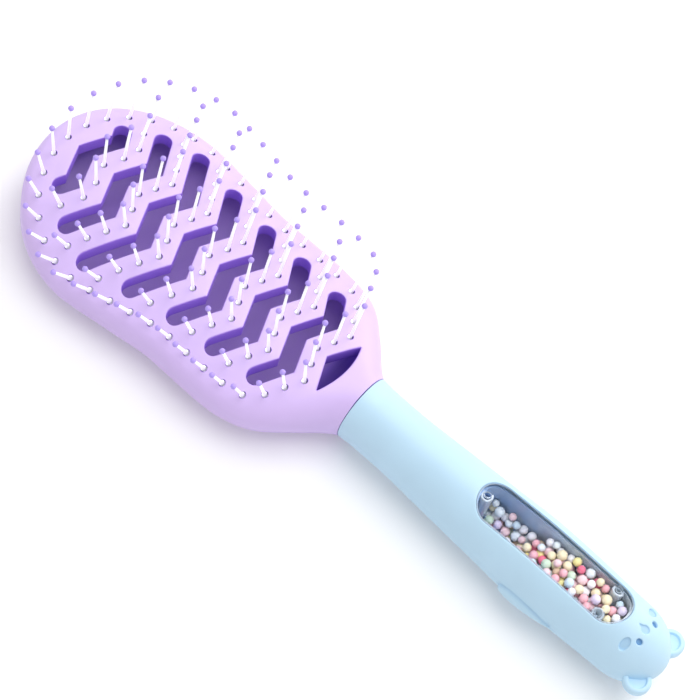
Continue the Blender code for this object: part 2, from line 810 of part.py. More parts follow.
def add_arms(back):
    """Raise one leaf-shaped arm on each side, just below the parting line."""
    for side in (-1, 1):
        rings = []
        for step in range(ARM_STEPS + 1):
            share = step / ARM_STEPS
            place = ARM_START + ARM_LENGTH * share
            swell = math.sin(math.pi * min(max(share, ARM_END_SHARE), 1 - ARM_END_SHARE))
            radius = handle_radius(place)
            middle = -ARM_DEPTH_BELOW_AXIS
            half = ARM_HALF_WIDTH * swell
            ring = []
            raised = ARM_PROUD * swell
            sunk = -HANDLE_WALL / 2
            for height, proud in (
                (middle + half, 0.0), (middle + half / 2, raised), (middle - half / 2, raised),
                (middle - half, 0.0), (middle - half, sunk), (middle + half, sunk),
            ):
                surface = math.sqrt(radius ** 2 - (height / TALL_SHARE) ** 2) + proud
                ring.append((place, side * surface, height))
            rings.append(ring)
        combine(back, loft('arm', rings), 'UNION')


def boss_places():
    """The three places (x, y) where a screw comes up into the capsule."""
    near = WINDOW_START + FRONT_BOSS_INSET
    far = WINDOW_START + WINDOW_LENGTH - REAR_BOSS_INSET
    places = {'screw_front': (near, 0.0)}
    places['screw_left'] = (far, REAR_BOSS_SPREAD)
    places['screw_right'] = (far, -REAR_BOSS_SPREAD)
    return places


def add_pillars(back):
    """Pillars inside the back shell that the capsule stands on, with their screw wells."""
    top = -CAPSULE_FLOOR_DEPTH - CAPSULE_FLOOR_WALL - SEAM_GAP
    head_seat = -REST_DEPTH + SCREW_HEAD_SUNK
    for centre in boss_places().values():
        inner = handle_radius(centre[0]) - HANDLE_WALL / 2
        foot = -TALL_SHARE * math.sqrt(inner ** 2 - centre[1] ** 2)
        pillar = turned('pillar', ((foot, PILLAR_RADIUS), (top, PILLAR_RADIUS)), ROUND_SIDES, centre, 'Z')
        combine(back, pillar, 'UNION')
        well = SCREW_HEAD_RADIUS + SEAM_GAP
        shaft = SCREW_RADIUS + SEAM_GAP
        below = -HANDLE_RADIUS * TALL_SHARE - OVERRUN
        profile = ((below, well), (head_seat, well), (head_seat, shaft), (top + OVERRUN, shaft))
        combine(back, turned('well', profile, ROUND_SIDES, centre, 'Z'), 'DIFFERENCE')


def make_capsule():
    """Clear cup with its three screw tubes, and the clear cover that closes it."""
    start = WINDOW_START - WINDOW_HALF_WIDTH
    end = HANDLE_LENGTH - HANDLE_END_ROUND / 2
    above = HANDLE_RADIUS * 2
    bottom = -CAPSULE_FLOOR_DEPTH - CAPSULE_FLOOR_WALL
    lid_inset = COVER_SUNK + COVER_WALL + SEAM_GAP
    cover = window_block('capsule_cover', -SEAM_GAP, 0.0, above)
    combine(cover, handle_solid('outside', start, end, COVER_SUNK), 'INTERSECT')
    combine(cover, handle_solid('underside', start, end, COVER_SUNK + COVER_WALL), 'DIFFERENCE')

    cup = window_block('capsule_cup', -SEAM_GAP, bottom, above)
    combine(cup, handle_solid('lid_line', start, end, lid_inset), 'INTERSECT')
    flange = window_block('flange', FLANGE_PROUD, FLANGE_UNDERSIDE, above)
    combine(flange, handle_solid('shell_line', start, end, HANDLE_WALL + SEAM_GAP), 'INTERSECT')
    combine(cup, flange, 'UNION')
    combine(cup, window_block('hollow', -SEAM_GAP - CAPSULE_WALL, -CAPSULE_FLOOR_DEPTH, above), 'DIFFERENCE')

    foot = -CAPSULE_FLOOR_DEPTH - CAPSULE_FLOOR_WALL / 2
    tubes = []
    for centre in boss_places().values():
        tubes.append(turned('tube', ((foot, BOSS_RADIUS), (above, BOSS_RADIUS)), ROUND_SIDES, centre, 'Z'))
    tubes = join('tubes', tubes)
    combine(tubes, handle_solid('tube_line', start, end, lid_inset), 'INTERSECT')
    combine(cup, tubes, 'UNION')
    for piece in (cup, cover):
        for centre in boss_places().values():
            bore = ((bottom - OVERRUN, BOSS_BORE), (above, BOSS_BORE))
            combine(piece, turned('bore', bore, ROUND_SIDES, centre, 'Z'), 'DIFFERENCE')
    return cup, cover


def make_screws():
    """Three self-tapping screws, head down in the back shell."""
    screws = []
    for name, centre in boss_places().items():
        seat = -REST_DEPTH + SCREW_HEAD_SUNK - SEAM_GAP
        head = seat - SCREW_HEAD_HEIGHT
        tip = seat + SCREW_ENGAGEMENT
        profile = (
            (head, SCREW_HEAD_RADIUS), (seat, SCREW_HEAD_RADIUS), (seat, SCREW_RADIUS),
            (tip - SCREW_RADIUS, SCREW_RADIUS), (tip, SCREW_RADIUS / 2),
        )
        screw = turned(name, profile, ROUND_SIDES, centre, 'Z')
        drive = ((head - OVERRUN, DRIVE_RADIUS), (head + DRIVE_DEPTH, DRIVE_RADIUS))
        combine(screw, turned('drive', drive, 6, centre, 'Z'), 'DIFFERENCE')
        screws.append(screw)
    return screws


def pebble(x, y):
    """Height of a pebbled surface of beads in staggered rows."""
    pitch = BEAD_RADIUS * 2
    row = math.floor(x / pitch)
    shift = BEAD_RADIUS if row % 2 else 0.0
    column = math.floor((y - shift) / pitch)
    off_x = x - (row + 0.5) * pitch
    off_y = y - shift - (column + 0.5) * pitch
    sunk = BEAD_RADIUS / 4 * (1 + math.sin(BEAD_ROW_TURN * row + BEAD_COLUMN_TURN * column))
    return math.sqrt(max(BEAD_RADIUS ** 2 - off_x ** 2 - off_y ** 2, 0.0)) - sunk


def bead_heap(name, start, bottom, low, high, ramp, travel):
    """A closed heap of beads whose pebbled top climbs from low to high along a ramp."""
    wide = WINDOW_HALF_WIDTH - CAPSULE_WALL - SEAM_GAP * 2
    narrow = REAR_BOSS_SPREAD - BOSS_RADIUS - SEAM_GAP
    rear_boss = WINDOW_START + WINDOW_LENGTH - REAR_BOSS_INSET - BOSS_RADIUS - SEAM_GAP
    end = WINDOW_START + WINDOW_LENGTH - CAPSULE_WALL - BEAD_RADIUS
    columns = round(2 * wide / BEAD_GRID)
    rings = []
    for first, last, half in ((start, rear_boss, wide), (rear_boss + SEAM_GAP / 2, end, narrow)):
        steps = round((last - first) / BEAD_GRID)
        for step in range(steps + 1):
            x = first + (last - first) * step / steps
            base = bottom + low + (high - low) * ease((x - start) / ramp)
            into_end = max(WINDOW_START + WINDOW_HALF_WIDTH - x + travel, 0.0)
            side = min(half, math.sqrt(wide ** 2 - into_end ** 2))
            top = []
            for column in range(columns + 1):
                y = -side + 2 * side * column / columns
                top.append((x, y, max(base + pebble(x, y), bottom + OVERRUN)))
            rings.append(top + [(x, side, bottom), (x, -side, bottom)])
    return loft(name, rings)


def make_beads():
    """The settled bed of beads, and the loose layer that slides over it."""
    start = WINDOW_START + FRONT_BOSS_INSET + BOSS_RADIUS + SEAM_GAP
    floor = -CAPSULE_FLOOR_DEPTH + SEAM_GAP
    bed = bead_heap('bead_bed', start, floor, BED_LOW, BED_HIGH, BED_RAMP, 0.0)
    above_bed = floor + BED_HIGH + BEAD_RADIUS + SEAM_GAP
    layer = bead_heap(
        'bead_layer', WINDOW_START + LAYER_START, above_bed, LAYER_LOW, LAYER_HIGH, LAYER_RAMP, LAYER_TRAVEL,
    )
    return bed, layer


def finish(item, colour, roughness, clear=0, metallic=0):
    """Give a piece its own Principled material and smooth its round faces."""
    material = bpy.data.materials.new(item.name + '_finish')
    material.use_nodes = True
    shader = material.node_tree.nodes['Principled BSDF']
    shader.inputs['Base Color'].default_value = colour
    shader.inputs['Roughness'].default_value = roughness
    shader.inputs['Transmission Weight'].default_value = clear
    shader.inputs['Metallic'].default_value = metallic
    item.data.materials.clear()
    item.data.materials.append(material)
    item.data.shade_smooth()
    item.data.set_sharp_from_angle(angle=SHARP_ANGLE)


LAVENDER = (0.68, 0.50, 0.93, 1.0)
VIOLET = (0.42, 0.28, 0.72, 1.0)
PALE_BLUE = (0.48, 0.71, 0.90, 1.0)
CLEAR = (0.80, 0.87, 0.93, 1.0)
NYLON = (0.90, 0.88, 0.95, 1.0)
BEAD = (0.90, 0.70, 0.72, 1.0)
STEEL = (0.60, 0.60, 0.62, 1.0)
SATIN = 0.4
POLISHED = 0.1
SEE_THROUGH = 0.9
SHARP_ANGLE = math.radians(35)


def main():
    """Build every piece and hang it on the brush's axis."""
    clear_scene()
    axis = bpy.data.objects.new('brush_axis', None)
    axis.location = ((HEAD_LENGTH - HANDLE_LENGTH) / 2, 0.0, REST_DEPTH)
    bpy.context.scene.collection.objects.link(axis)

    front, back = make_head()
    finish(front, LAVENDER, SATIN)
    finish(back, VIOLET, SATIN)
    pieces = [front, back]
    for strip in make_pin_rows() + [make_pin_rim()]:
        finish(strip, NYLON, SATIN)
        pieces.append(strip)
    for shell in make_handle():
        finish(shell, PALE_BLUE, SATIN)
        pieces.append(shell)
    for clear_piece in make_capsule():
        finish(clear_piece, CLEAR, POLISHED, clear=SEE_THROUGH)
        pieces.append(clear_piece)
    for screw in make_screws():
        finish(screw, STEEL, SATIN, metallic=1)
        pieces.append(screw)
    bed, layer = make_beads()
    finish(bed, BEAD, SATIN)
    finish(layer, BEAD, SATIN)
    origin = Vector((WINDOW_START + LAYER_START, 0.0, 0.0))
    for vertex in layer.data.vertices:
        vertex.co -= origin
    layer.location = origin
    pieces += [bed, layer]
    for piece in pieces:
        piece.parent = axis


main()
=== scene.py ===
# %% [markdown]
# # A vented hair brush with a clear capsule of beads
#
# The brush has a lavender head full of zigzag vents, ninety-eight ball-tipped pins, and a pale
# blue handle shaped like a small bear. The packed model gives every piece its place. This lesson
# makes the surfaces that a camera sees, one piece at a time, and prints what each step made.

# %% Open the packed brush
import math

import bmesh
import bpy
import numpy as np
from mathutils import Matrix, Vector, kdtree
from mathutils.geometry import delaunay_2d_cdt


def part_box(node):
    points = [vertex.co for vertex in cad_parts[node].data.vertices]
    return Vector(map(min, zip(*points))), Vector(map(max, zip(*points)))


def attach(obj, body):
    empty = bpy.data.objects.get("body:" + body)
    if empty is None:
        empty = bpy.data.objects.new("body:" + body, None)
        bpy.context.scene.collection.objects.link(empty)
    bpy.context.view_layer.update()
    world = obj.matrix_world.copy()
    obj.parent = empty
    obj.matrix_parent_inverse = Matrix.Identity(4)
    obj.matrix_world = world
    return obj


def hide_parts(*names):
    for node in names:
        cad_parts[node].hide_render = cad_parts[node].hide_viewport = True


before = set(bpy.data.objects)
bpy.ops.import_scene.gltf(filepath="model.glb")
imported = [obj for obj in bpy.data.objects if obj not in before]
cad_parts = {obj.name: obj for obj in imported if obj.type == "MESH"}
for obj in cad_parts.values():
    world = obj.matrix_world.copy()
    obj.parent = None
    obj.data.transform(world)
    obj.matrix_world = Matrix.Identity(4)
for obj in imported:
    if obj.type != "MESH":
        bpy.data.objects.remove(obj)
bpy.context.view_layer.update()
print("pieces in the packed model:", len(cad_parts))

# %% [markdown]
# ## Where things are
#
# A brush is easiest to describe along its own axis. Here "run" is the distance from the tip of
# the head and "along" is the distance from the seam on the handle. The seam, the tip and the
# height of the axis could be typed, but reading them from the packed pieces keeps both models
# together.

# %% Find the seam, the tip and the axis
MM = 0.001
head_low, head_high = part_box("head_front_shell")
handle_low, handle_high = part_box("handle_front_shell")
back_low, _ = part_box("handle_back_shell")
SEAM_GAP = 0.3 * MM
SEAM_X = handle_low.x - SEAM_GAP / 2
AXIS_Z = handle_low.z - SEAM_GAP / 2
HEAD_LENGTH = SEAM_X - head_low.x
HEAD_WIDTH = head_high.y - head_low.y
HANDLE_LENGTH = handle_high.x - SEAM_X
print("seam at", round(SEAM_X, 4), "axis height", round(AXIS_Z, 4), "head", round(HEAD_LENGTH, 4))
print("height of both handle shells:", round(handle_high.z - back_low.z, 4))

# %% [markdown]
# ## Smooth curves from a few points
#
# The outline of the head and the swell of the handle are soft curves. A spline object could hold
# them, but a small table with a smooth curve through it is shorter and can be asked for its value
# at any place. The curve never overshoots between two points, so no bump appears that nobody drew.

# %% A smooth curve through a short table
def smooth_curve(table, places):
    """Values at many places of the smooth curve through (place, value) pairs."""
    xs = np.array([row[0] for row in table], float)
    ys = np.array([row[1] for row in table], float)
    rises = np.diff(ys) / np.diff(xs)
    slopes = np.concatenate([[rises[0] / 2], (ys[2:] - ys[:-2]) / (xs[2:] - xs[:-2]), [rises[-1] / 2]])
    slopes[1:-1][rises[:-1] * rises[1:] <= 0] = 0
    places = np.clip(np.asarray(places, float), xs[0], xs[-1])
    index = np.clip(np.searchsorted(xs, places, side="right") - 1, 0, len(xs) - 2)
    span = xs[index + 1] - xs[index]
    part = (places - xs[index]) / span
    rest = 1 - part
    value = ys[index] * (1 + 2 * part) * rest ** 2 + ys[index + 1] * part ** 2 * (3 - 2 * part)
    return value + span * (slopes[index] * part * rest ** 2 + slopes[index + 1] * part ** 2 * (part - 1))


def ease(part):
    """From 0 to 1 with a soft start and a soft end."""
    part = np.clip(part, 0, 1)
    return part * part * (3 - 2 * part)


print("halfway up an easing curve:", float(ease(0.5)))

# %% [markdown]
# ## The form of the head
#
# Seen from above the head is half an ellipse at the tip, a waist, and a neck as wide as the
# handle. Seen from the end it is a gently crowned plate that turns into a tall oval at the neck.
# Both forms are functions of the place, so slots, pins and walls can all ask for the same surface.

# %% Outline and crown of the head
NOSE_LENGTH = 36 * MM
NECK_HALF = 10 * MM
TALL = 1.2
NECK_BLEND = 32 * MM
OUTLINE = (
    (0.0, 1.0), (0.207, 0.901), (0.379, 0.823), (0.529, 0.831), (0.678, 0.798),
    (0.793, 0.671), (0.897, 0.354), (0.96, 0.119), (1.0, 0.0),
)
CROWN_HEIGHT = 10.6 * MM
CROWN_RADIUS = 55 * MM
TIP_FALL = 3 * MM
EDGE_ROUND = 2.4 * MM
PARTING_DEPTH = 4 * MM
OUTLINE_STEPS = 900
BODY_RUNS = np.linspace(NOSE_LENGTH, HEAD_LENGTH, OUTLINE_STEPS)
BODY_SHARES = smooth_curve(OUTLINE, (BODY_RUNS - NOSE_LENGTH) / (HEAD_LENGTH - NOSE_LENGTH))
BODY_HALVES = NECK_HALF + (HEAD_WIDTH / 2 - NECK_HALF) * BODY_SHARES


def half_width(run):
    """Half the width of the head at a distance from the tip."""
    run = np.asarray(run, float)
    ahead = np.clip((NOSE_LENGTH - run) / NOSE_LENGTH, 0, 1)
    nose = HEAD_WIDTH / 2 * np.sqrt(1 - ahead ** 2)
    return np.where(run < NOSE_LENGTH, nose, np.interp(run, BODY_RUNS, BODY_HALVES))


def neck_share(run):
    """How far the section has turned into the oval of the neck."""
    return ease((np.asarray(run, float) - HEAD_LENGTH + NECK_BLEND) / NECK_BLEND)


def crown(run, across):
    """Height of the front above the axis, before its edge is rounded."""
    run, across = np.asarray(run, float), np.asarray(across, float)
    fall = TIP_FALL * np.clip(1 - run / NOSE_LENGTH, 0, 1) ** 2
    plate = CROWN_HEIGHT - fall - (CROWN_RADIUS - np.sqrt(CROWN_RADIUS ** 2 - across ** 2))
    wide = np.maximum(half_width(run), MM)
    oval = NECK_HALF * TALL * np.sqrt(np.clip(1 - (across / wide) ** 2, 0, 1))
    share = neck_share(run)
    return plate * (1 - share) + oval * share


def on_head(run, across, height):
    """World points from runs, places across and heights above the axis."""
    run, across, height = np.broadcast_arrays(run, across, height)
    return np.stack([run - HEAD_LENGTH + SEAM_X, across, height + AXIS_Z], -1)


print("widest half width", round(float(half_width(NOSE_LENGTH)), 4))

# %% [markdown]
# ## Sheets with holes, and walls between loops
#
# The head and the handle are mouldings full of openings. Cutting them with booleans would leave
# long thin faces that shade badly. Instead each sheet is filled with even triangles between its
# outline and the loops of its holes, and the rounded lips and walls are bridged from loop to
# loop. The edges are then soft because their geometry is soft.

# %% Collect points and faces of a closed piece
class Shell:
    """Points and faces of one piece while it is being made."""

    def __init__(self):
        self.points = []
        self.faces = []
        self.tints = []
        self.marks = []

    def add(self, points, tint=0.0):
        """Add points with one amount of painted shade, or an amount each, and return their numbers."""
        start = sum(len(block) for block in self.points)
        points = np.asarray(points, float).reshape(-1, 3)
        self.points.append(points)
        self.tints.append(np.full(len(points), tint))
        return list(range(start, start + len(points)))

    def mark(self, finish):
        """From the next face on, faces take the finish of this number."""
        self.marks.append((len(self.faces), finish))

    def shade(self, numbers, tint):
        """Give points that are laid already another amount of painted shade."""
        self.tints = [np.concatenate(self.tints)]
        self.tints[0][numbers] = tint

    def bridge(self, first, second, closed=True):
        """Join two rows of as many points with four-sided faces."""
        count = len(first)
        for index in range(count if closed else count - 1):
            after = (index + 1) % count
            self.faces.append((first[index], first[after], second[after], second[index]))

    def walk(self, start, rings, tints=0.0):
        """Bridge from a row of points through rings of new ones and return the last row."""
        for ring, tint in zip(rings, np.broadcast_to(tints, len(rings))):
            following = self.add(ring, tint)
            self.bridge(start, following)
            start = following
        return start

    def stack(self, rings, closed=True, tints=0.0):
        """Add rings, bridge each to the next and return their rows of point numbers."""
        rows = [self.add(ring, tint) for ring, tint in zip(rings, np.broadcast_to(tints, len(rings)))]
        for first, second in zip(rows, rows[1:]):
            self.bridge(first, second, closed)
        return rows


print("a shell can:", [name for name in vars(Shell) if not name.startswith("_")])

# %% Fill an outline around its holes
ROW_START = 0.25
ROW_SHIFT = 0.5
RIM_DISTANCE = 0.55
SAME_POINT = 1e-9


def inside(points, loop):
    """For each flat point, whether it lies inside a closed loop."""
    points, loop = np.asarray(points, float), np.asarray(loop, float)
    result = np.zeros(len(points), bool)
    near = np.all((points >= loop.min(0)) & (points <= loop.max(0)), axis=1)
    px, py = points[near, 0:1], points[near, 1:2]
    ax, ay = loop[:, 0], loop[:, 1]
    bx, by = np.roll(ax, -1), np.roll(ay, -1)
    crosses = (ay > py) != (by > py)
    with np.errstate(divide="ignore", invalid="ignore"):
        at = ax + (py - ay) / (by - ay) * (bx - ax)
    result[near] = (crosses & (px < at)).sum(1) % 2 == 1
    return result


def between(points, loops):
    """For each flat point, whether it lies inside the first loop and outside the others."""
    keep = inside(points, loops[0])
    for loop in loops[1:]:
        keep &= ~inside(points, loop)
    return keep


def circle(points):
    """Flat points round a circle of radius one."""
    turns = np.linspace(0, 2 * math.pi, points, endpoint=False)
    return np.stack([np.cos(turns), np.sin(turns)], -1)


def fill(outer, holes, spacing):
    """Flat points and triangles inside an outline, around its holes. The loops' points come first."""
    loops = [np.asarray(loop, float) for loop in [outer, *holes]]
    rim = np.concatenate(loops)
    low, high = loops[0].min(0), loops[0].max(0)
    rows = np.arange(low[1] + spacing / 2, high[1], spacing * math.sqrt(3) / 2)
    grid = []
    for number, row in enumerate(rows):
        start = low[0] + spacing * (ROW_START + ROW_SHIFT * (number % 2))
        columns = np.arange(start, high[0], spacing)
        grid.append(np.stack([columns, np.full(len(columns), row)], -1))
    grid = np.concatenate(grid)
    grid = grid[between(grid, loops)]
    tree = kdtree.KDTree(len(rim))
    for index, point in enumerate(rim):
        tree.insert((*point, 0), index)
    tree.balance()
    grid = grid[[tree.find((*point, 0))[2] > spacing * RIM_DISTANCE for point in grid]]
    points = np.concatenate([rim, grid])
    edges = []
    start = 0
    for loop in loops:
        edges += [(start + index, start + (index + 1) % len(loop)) for index in range(len(loop))]
        start += len(loop)
    flat = [Vector(point) for point in points]
    _, _, triangles, sources, _, _ = delaunay_2d_cdt(flat, edges, [], 0, SAME_POINT)
    origin = np.array([source[0] if source else -1 for source in sources])
    triangles = np.array([[origin[corner] for corner in face] for face in triangles if len(face) == 3])
    return points, triangles[between(points[triangles].mean(1), loops)]


def lay_sheet(shell, outer, holes, spacing, lift, tint=0.0):
    """Fill a sheet, lift it into place and return the point numbers of its loops.

    The painted shade is a number or a rule that takes the flat places.
    """
    points, triangles = fill(outer, holes, spacing)
    if callable(tint):
        tint = tint(points[:, 0], points[:, 1])
    numbers = shell.add(lift(points[:, 0], points[:, 1]), tint)
    shell.faces += [tuple(numbers[corner] for corner in face) for face in triangles]
    loops = []
    start = 0
    for loop in [outer, *holes]:
        loops.append(numbers[start:start + len(loop)])
        start += len(loop)
    return loops


square = circle(4)
print("points and triangles of a filled square:", [len(part) for part in fill(square, [], 0.5)])

# %% Turn a shell into an object
SHARP_ANGLE = math.radians(35)
MERGE = 0.001 * MM
WIDE_MERGE = 0.002 * MM


def place_object(name, data):
    """A new object in the scene that holds a mesh, a lamp or a camera."""
    piece = bpy.data.objects.new(name, data)
    bpy.context.scene.collection.objects.link(piece)
    return piece


def close_up(name, shell, merge=MERGE):
    """Turn a shell into a smooth mesh object with its faces outwards."""
    mesh = bpy.data.meshes.new(name)
    mesh.from_pydata(np.concatenate(shell.points).tolist(), [], shell.faces)
    # Each point carries its amount of painted shade, which the finishes turn into darker colour.
    tint = mesh.attributes.new("tint", "FLOAT", "POINT")
    tint.data.foreach_set("value", np.concatenate(shell.tints).astype(np.float32))
    for first_face, finish in shell.marks:
        for face in mesh.polygons[first_face:]:
            face.material_index = finish
    shape = bmesh.new()
    shape.from_mesh(mesh)
    bmesh.ops.remove_doubles(shape, verts=shape.verts, dist=merge)
    bmesh.ops.recalc_face_normals(shape, faces=shape.faces)
    loose = sum(1 for edge in shape.edges if not edge.is_manifold)
    if shape.calc_volume(signed=True) < 0:
        bmesh.ops.reverse_faces(shape, faces=shape.faces)
    shape.to_mesh(mesh)
    shape.free()
    mesh.shade_smooth()
    mesh.set_sharp_from_angle(angle=SHARP_ANGLE)
    print(name, "has", len(mesh.polygons), "faces and", loose, "open edges")
    return place_object(name, mesh)


print("points closer than this become one, in mm:", MERGE / MM)

# %% [markdown]
# ## The zigzag vents
#
# Seven vents let air through the head. Each follows a line that dips in the middle and climbs to
# both sides, at one width, with round ends. The loop of a vent can be drawn at any margin, and it
# always has the same number of points, so the lip, the wall and the collar bridge without twists.

# %% Draw the loop of a vent at any width
SLOT_COUNT = 7
FIRST_SLOT_RUN = 13 * MM
LAST_SLOT_TO_SEAM = 26 * MM
SLOT_HALF = 2.65 * MM
SLOT_REACH_SHARES = (0.591, 0.692, 0.803, 0.774, 0.743, 0.716, 0.696)
ZIG_INNER = 9.8 * MM
ZIG_DIP = 4.2 * MM
ZIG_CLIMB = 0.58
CAP_STEPS = 10
SLOT_PITCH = (HEAD_LENGTH - FIRST_SLOT_RUN - LAST_SLOT_TO_SEAM) / (SLOT_COUNT - 1)


def zigzag(middle_run, across):
    """Run of the zigzag line at a place across the head."""
    reach = abs(across)
    if reach < ZIG_INNER:
        return middle_run + ZIG_DIP * reach / ZIG_INNER
    return middle_run + ZIG_DIP - ZIG_CLIMB * (reach - ZIG_INNER)


def vent_loop(number, half):
    """Closed loop (run, across) round one vent, half wide to each side of its line."""
    middle_run = FIRST_SLOT_RUN + number * SLOT_PITCH
    reach = SLOT_REACH_SHARES[number] * float(half_width(middle_run)) - SLOT_HALF
    places = (-reach, -ZIG_INNER, 0, ZIG_INNER, reach)
    bends = [Vector((zigzag(middle_run, place), place)) for place in places]
    ways = [(after - before).normalized() for before, after in zip(bends, bends[1:])]
    sides = [Vector((-way.y, way.x)) for way in ways]
    offsets = [sides[0]]
    for before, after in zip(sides, sides[1:]):
        middle = (before + after).normalized()
        offsets.append(middle / middle.dot(before))
    offsets.append(sides[-1])
    counts = [max(round((after - before).length / MM), 2) for before, after in zip(bends, bends[1:])]
    turns = [math.pi * step / CAP_STEPS for step in range(1, CAP_STEPS)]

    def side(sign):
        """One long side, to the left (1) or the right (-1) of the line."""
        edge = [bend + offset * half * sign for bend, offset in zip(bends, offsets)]
        steps = [before.lerp(after, step / count)
                 for before, after, count in zip(edge, edge[1:], counts) for step in range(count)]
        return steps + [edge[-1]]

    def cap(at, sign):
        """The round end at the last (-1, 1) or the first (0, -1) bend."""
        return [bends[at] + (sides[at] * math.cos(turn) + ways[at] * math.sin(turn)) * half * sign
                for turn in turns]

    return np.array([tuple(point) for point in side(1) + cap(-1, 1) + side(-1)[::-1] + cap(0, -1)])


print("points round the longest vent:", len(vent_loop(2, SLOT_HALF)))

# %% [markdown]
# ## The pointed vent at the neck
#
# Behind the last row a three-sided opening points at the tip. Its two front sides are straight
# and its back is an arc.

# %% Draw the loop of the pointed vent
OPENING_APEX = 15.2 * MM
OPENING_CORNER = 10.5 * MM
OPENING_ARC = 8.3 * MM
OPENING_HALF = 9.7 * MM
OPENING_END = 0.985
OPENING_POINTS = 25
APEX_GROWTH = 1.1


def neck_vent_loop(margin):
    """Closed loop (run, across) round the pointed vent, moved out by a margin."""
    ends = np.linspace(-OPENING_END, OPENING_END, OPENING_POINTS)
    half = OPENING_HALF + margin
    apex = HEAD_LENGTH - OPENING_APEX - margin * APEX_GROWTH
    front = apex + (OPENING_APEX - OPENING_CORNER) * np.abs(ends)
    back = HEAD_LENGTH - OPENING_CORNER + margin + (OPENING_CORNER - OPENING_ARC) * (1 - ends ** 2)
    before = np.stack([front, half * ends], -1)
    after = np.stack([back, half * ends], -1)
    return np.concatenate([before, after[::-1]])


print("points round the pointed vent:", len(neck_vent_loop(0.0)))

# %% [markdown]
# ## Where the pins stand
#
# Sixty-five pins stand in seven zigzag rows between the vents, and thirty-three more follow the
# rim like a horseshoe. They fan out across the head. Only their feet and directions are needed
# here: the holes use them now, and the pins themselves use them later.

# %% Place the feet of the pins
ROW_COUNTS = (7, 11, 11, 9, 9, 9, 9)
ROW_REACH_SHARES = (0.569, 0.718, 0.783, 0.702, 0.664, 0.66, 0.741)
RIM_COUNT = 33
RIM_TIP_INSET = 5.7 * MM
RIM_BULGE_INSET = 4.0 * MM
RIM_INSET = 5.1 * MM
RIM_START = 25.5 * MM
RIM_STEPS = 200
PIN_FAN = 62 * MM


def rim_half(run):
    """Half width of the horseshoe that the rim pins follow."""
    if run < NOSE_LENGTH:
        ahead = (NOSE_LENGTH - run) / (NOSE_LENGTH - RIM_TIP_INSET)
        return (HEAD_WIDTH / 2 - RIM_BULGE_INSET) * math.sqrt(max(1 - ahead * ahead, 0))
    slope = float(half_width(run + MM / 2) - half_width(run - MM / 2)) / MM
    inset = RIM_BULGE_INSET + (RIM_INSET - RIM_BULGE_INSET) * float(ease((run - NOSE_LENGTH) / NOSE_LENGTH))
    return float(half_width(run)) - inset * math.hypot(1, slope)


def rim_feet():
    """Feet of the rim pins, evenly spaced along the horseshoe."""
    last = HEAD_LENGTH - RIM_START
    turns = np.linspace(0, math.pi / 2, RIM_STEPS)
    runs = RIM_TIP_INSET + (last - RIM_TIP_INSET) * (1 - np.cos(turns))
    half = np.array([(run, rim_half(run)) for run in runs])
    line = np.concatenate([half[::-1] * (1, -1), half[1:]])
    lengths = np.concatenate([[0], np.cumsum(np.hypot(*np.diff(line, axis=0).T))])
    wanted = np.linspace(0, lengths[-1], RIM_COUNT)
    return np.stack([np.interp(wanted, lengths, line[:, 0]), np.interp(wanted, lengths, line[:, 1])], -1)


def row_feet(number):
    """Feet of the pins in one zigzag row."""
    middle_run = FIRST_SLOT_RUN + (number + 0.5) * SLOT_PITCH
    places = np.linspace(-1, 1, ROW_COUNTS[number]) * ROW_REACH_SHARES[number] * float(half_width(middle_run))
    return np.array([(zigzag(middle_run, place), place) for place in places])


FEET = np.concatenate([rim_feet()] + [row_feet(number) for number in range(SLOT_COUNT)])
LEANS = np.arcsin(FEET[:, 1] / PIN_FAN)
print("pins:", len(FEET), "widest lean in degrees:", round(float(np.degrees(np.abs(LEANS).max())), 1))

# %% [markdown]
# ## The front of the head
#
# The front is one moulding: a crowned sheet, a rounded edge that runs into a straight side, and
# behind the sheet a hollow with a collar round each vent. The sheet is filled between the
# outline, the vents and the pin holes. Every lip then rolls over into its wall.

# %% Stations round the outline
SKIN = 2.1 * MM
SIDE_WALL = 1.9 * MM
COLLAR_WALL = 0.9 * MM
COLLAR_DEPTH = 5.2 * MM
HOLLOW_END = 6.4 * MM
TOP_END = HEAD_LENGTH - SEAM_GAP / 4
NOSE_STATIONS = 30
BODY_STATIONS = 66


def head_runs(last_run):
    """Runs of the stations along the head, closer together at its tip."""
    nose = NOSE_LENGTH * (1 - np.cos(np.linspace(0, math.pi / 2, NOSE_STATIONS)))
    return np.concatenate([nose, np.linspace(NOSE_LENGTH, last_run, BODY_STATIONS)[1:]])


def outline_chain(last_run):
    """Points and outward directions of the outline, from the neck round the tip and back."""
    runs = head_runs(last_run)
    half = np.stack([runs, half_width(runs)], -1)
    chain = np.concatenate([half[::-1] * (1, -1), half[1:]])
    ways = np.gradient(chain, axis=0)
    ways[len(runs) - 1] = (0, 1)
    outward = np.stack([-ways[:, 1], ways[:, 0]], -1)
    outward /= np.linalg.norm(outward, axis=1, keepdims=True)
    return chain, outward


CHAIN, OUTWARD = outline_chain(TOP_END)
CHAIN_NECK = neck_share(CHAIN[:, 0])
print("stations round the outline:", len(CHAIN))

# %% Rings of the rounded edge and the side
EDGE_STEPS = 8
NECK_TURN = math.radians(42)
NECK_TURNS = np.linspace(NECK_TURN, 0, EDGE_STEPS)
SIDE_SHARES = np.linspace(0, 1, 8)[1:]


def quarter_round(radius, steps):
    """(inset, fall) pairs from the top of a rounded edge down to where it stands upright."""
    turns = np.linspace(0, math.pi / 2, steps)
    return [(radius * (1 - math.sin(turn)), radius * (1 - math.cos(turn))) for turn in turns]


EDGE = quarter_round(EDGE_ROUND, EDGE_STEPS)


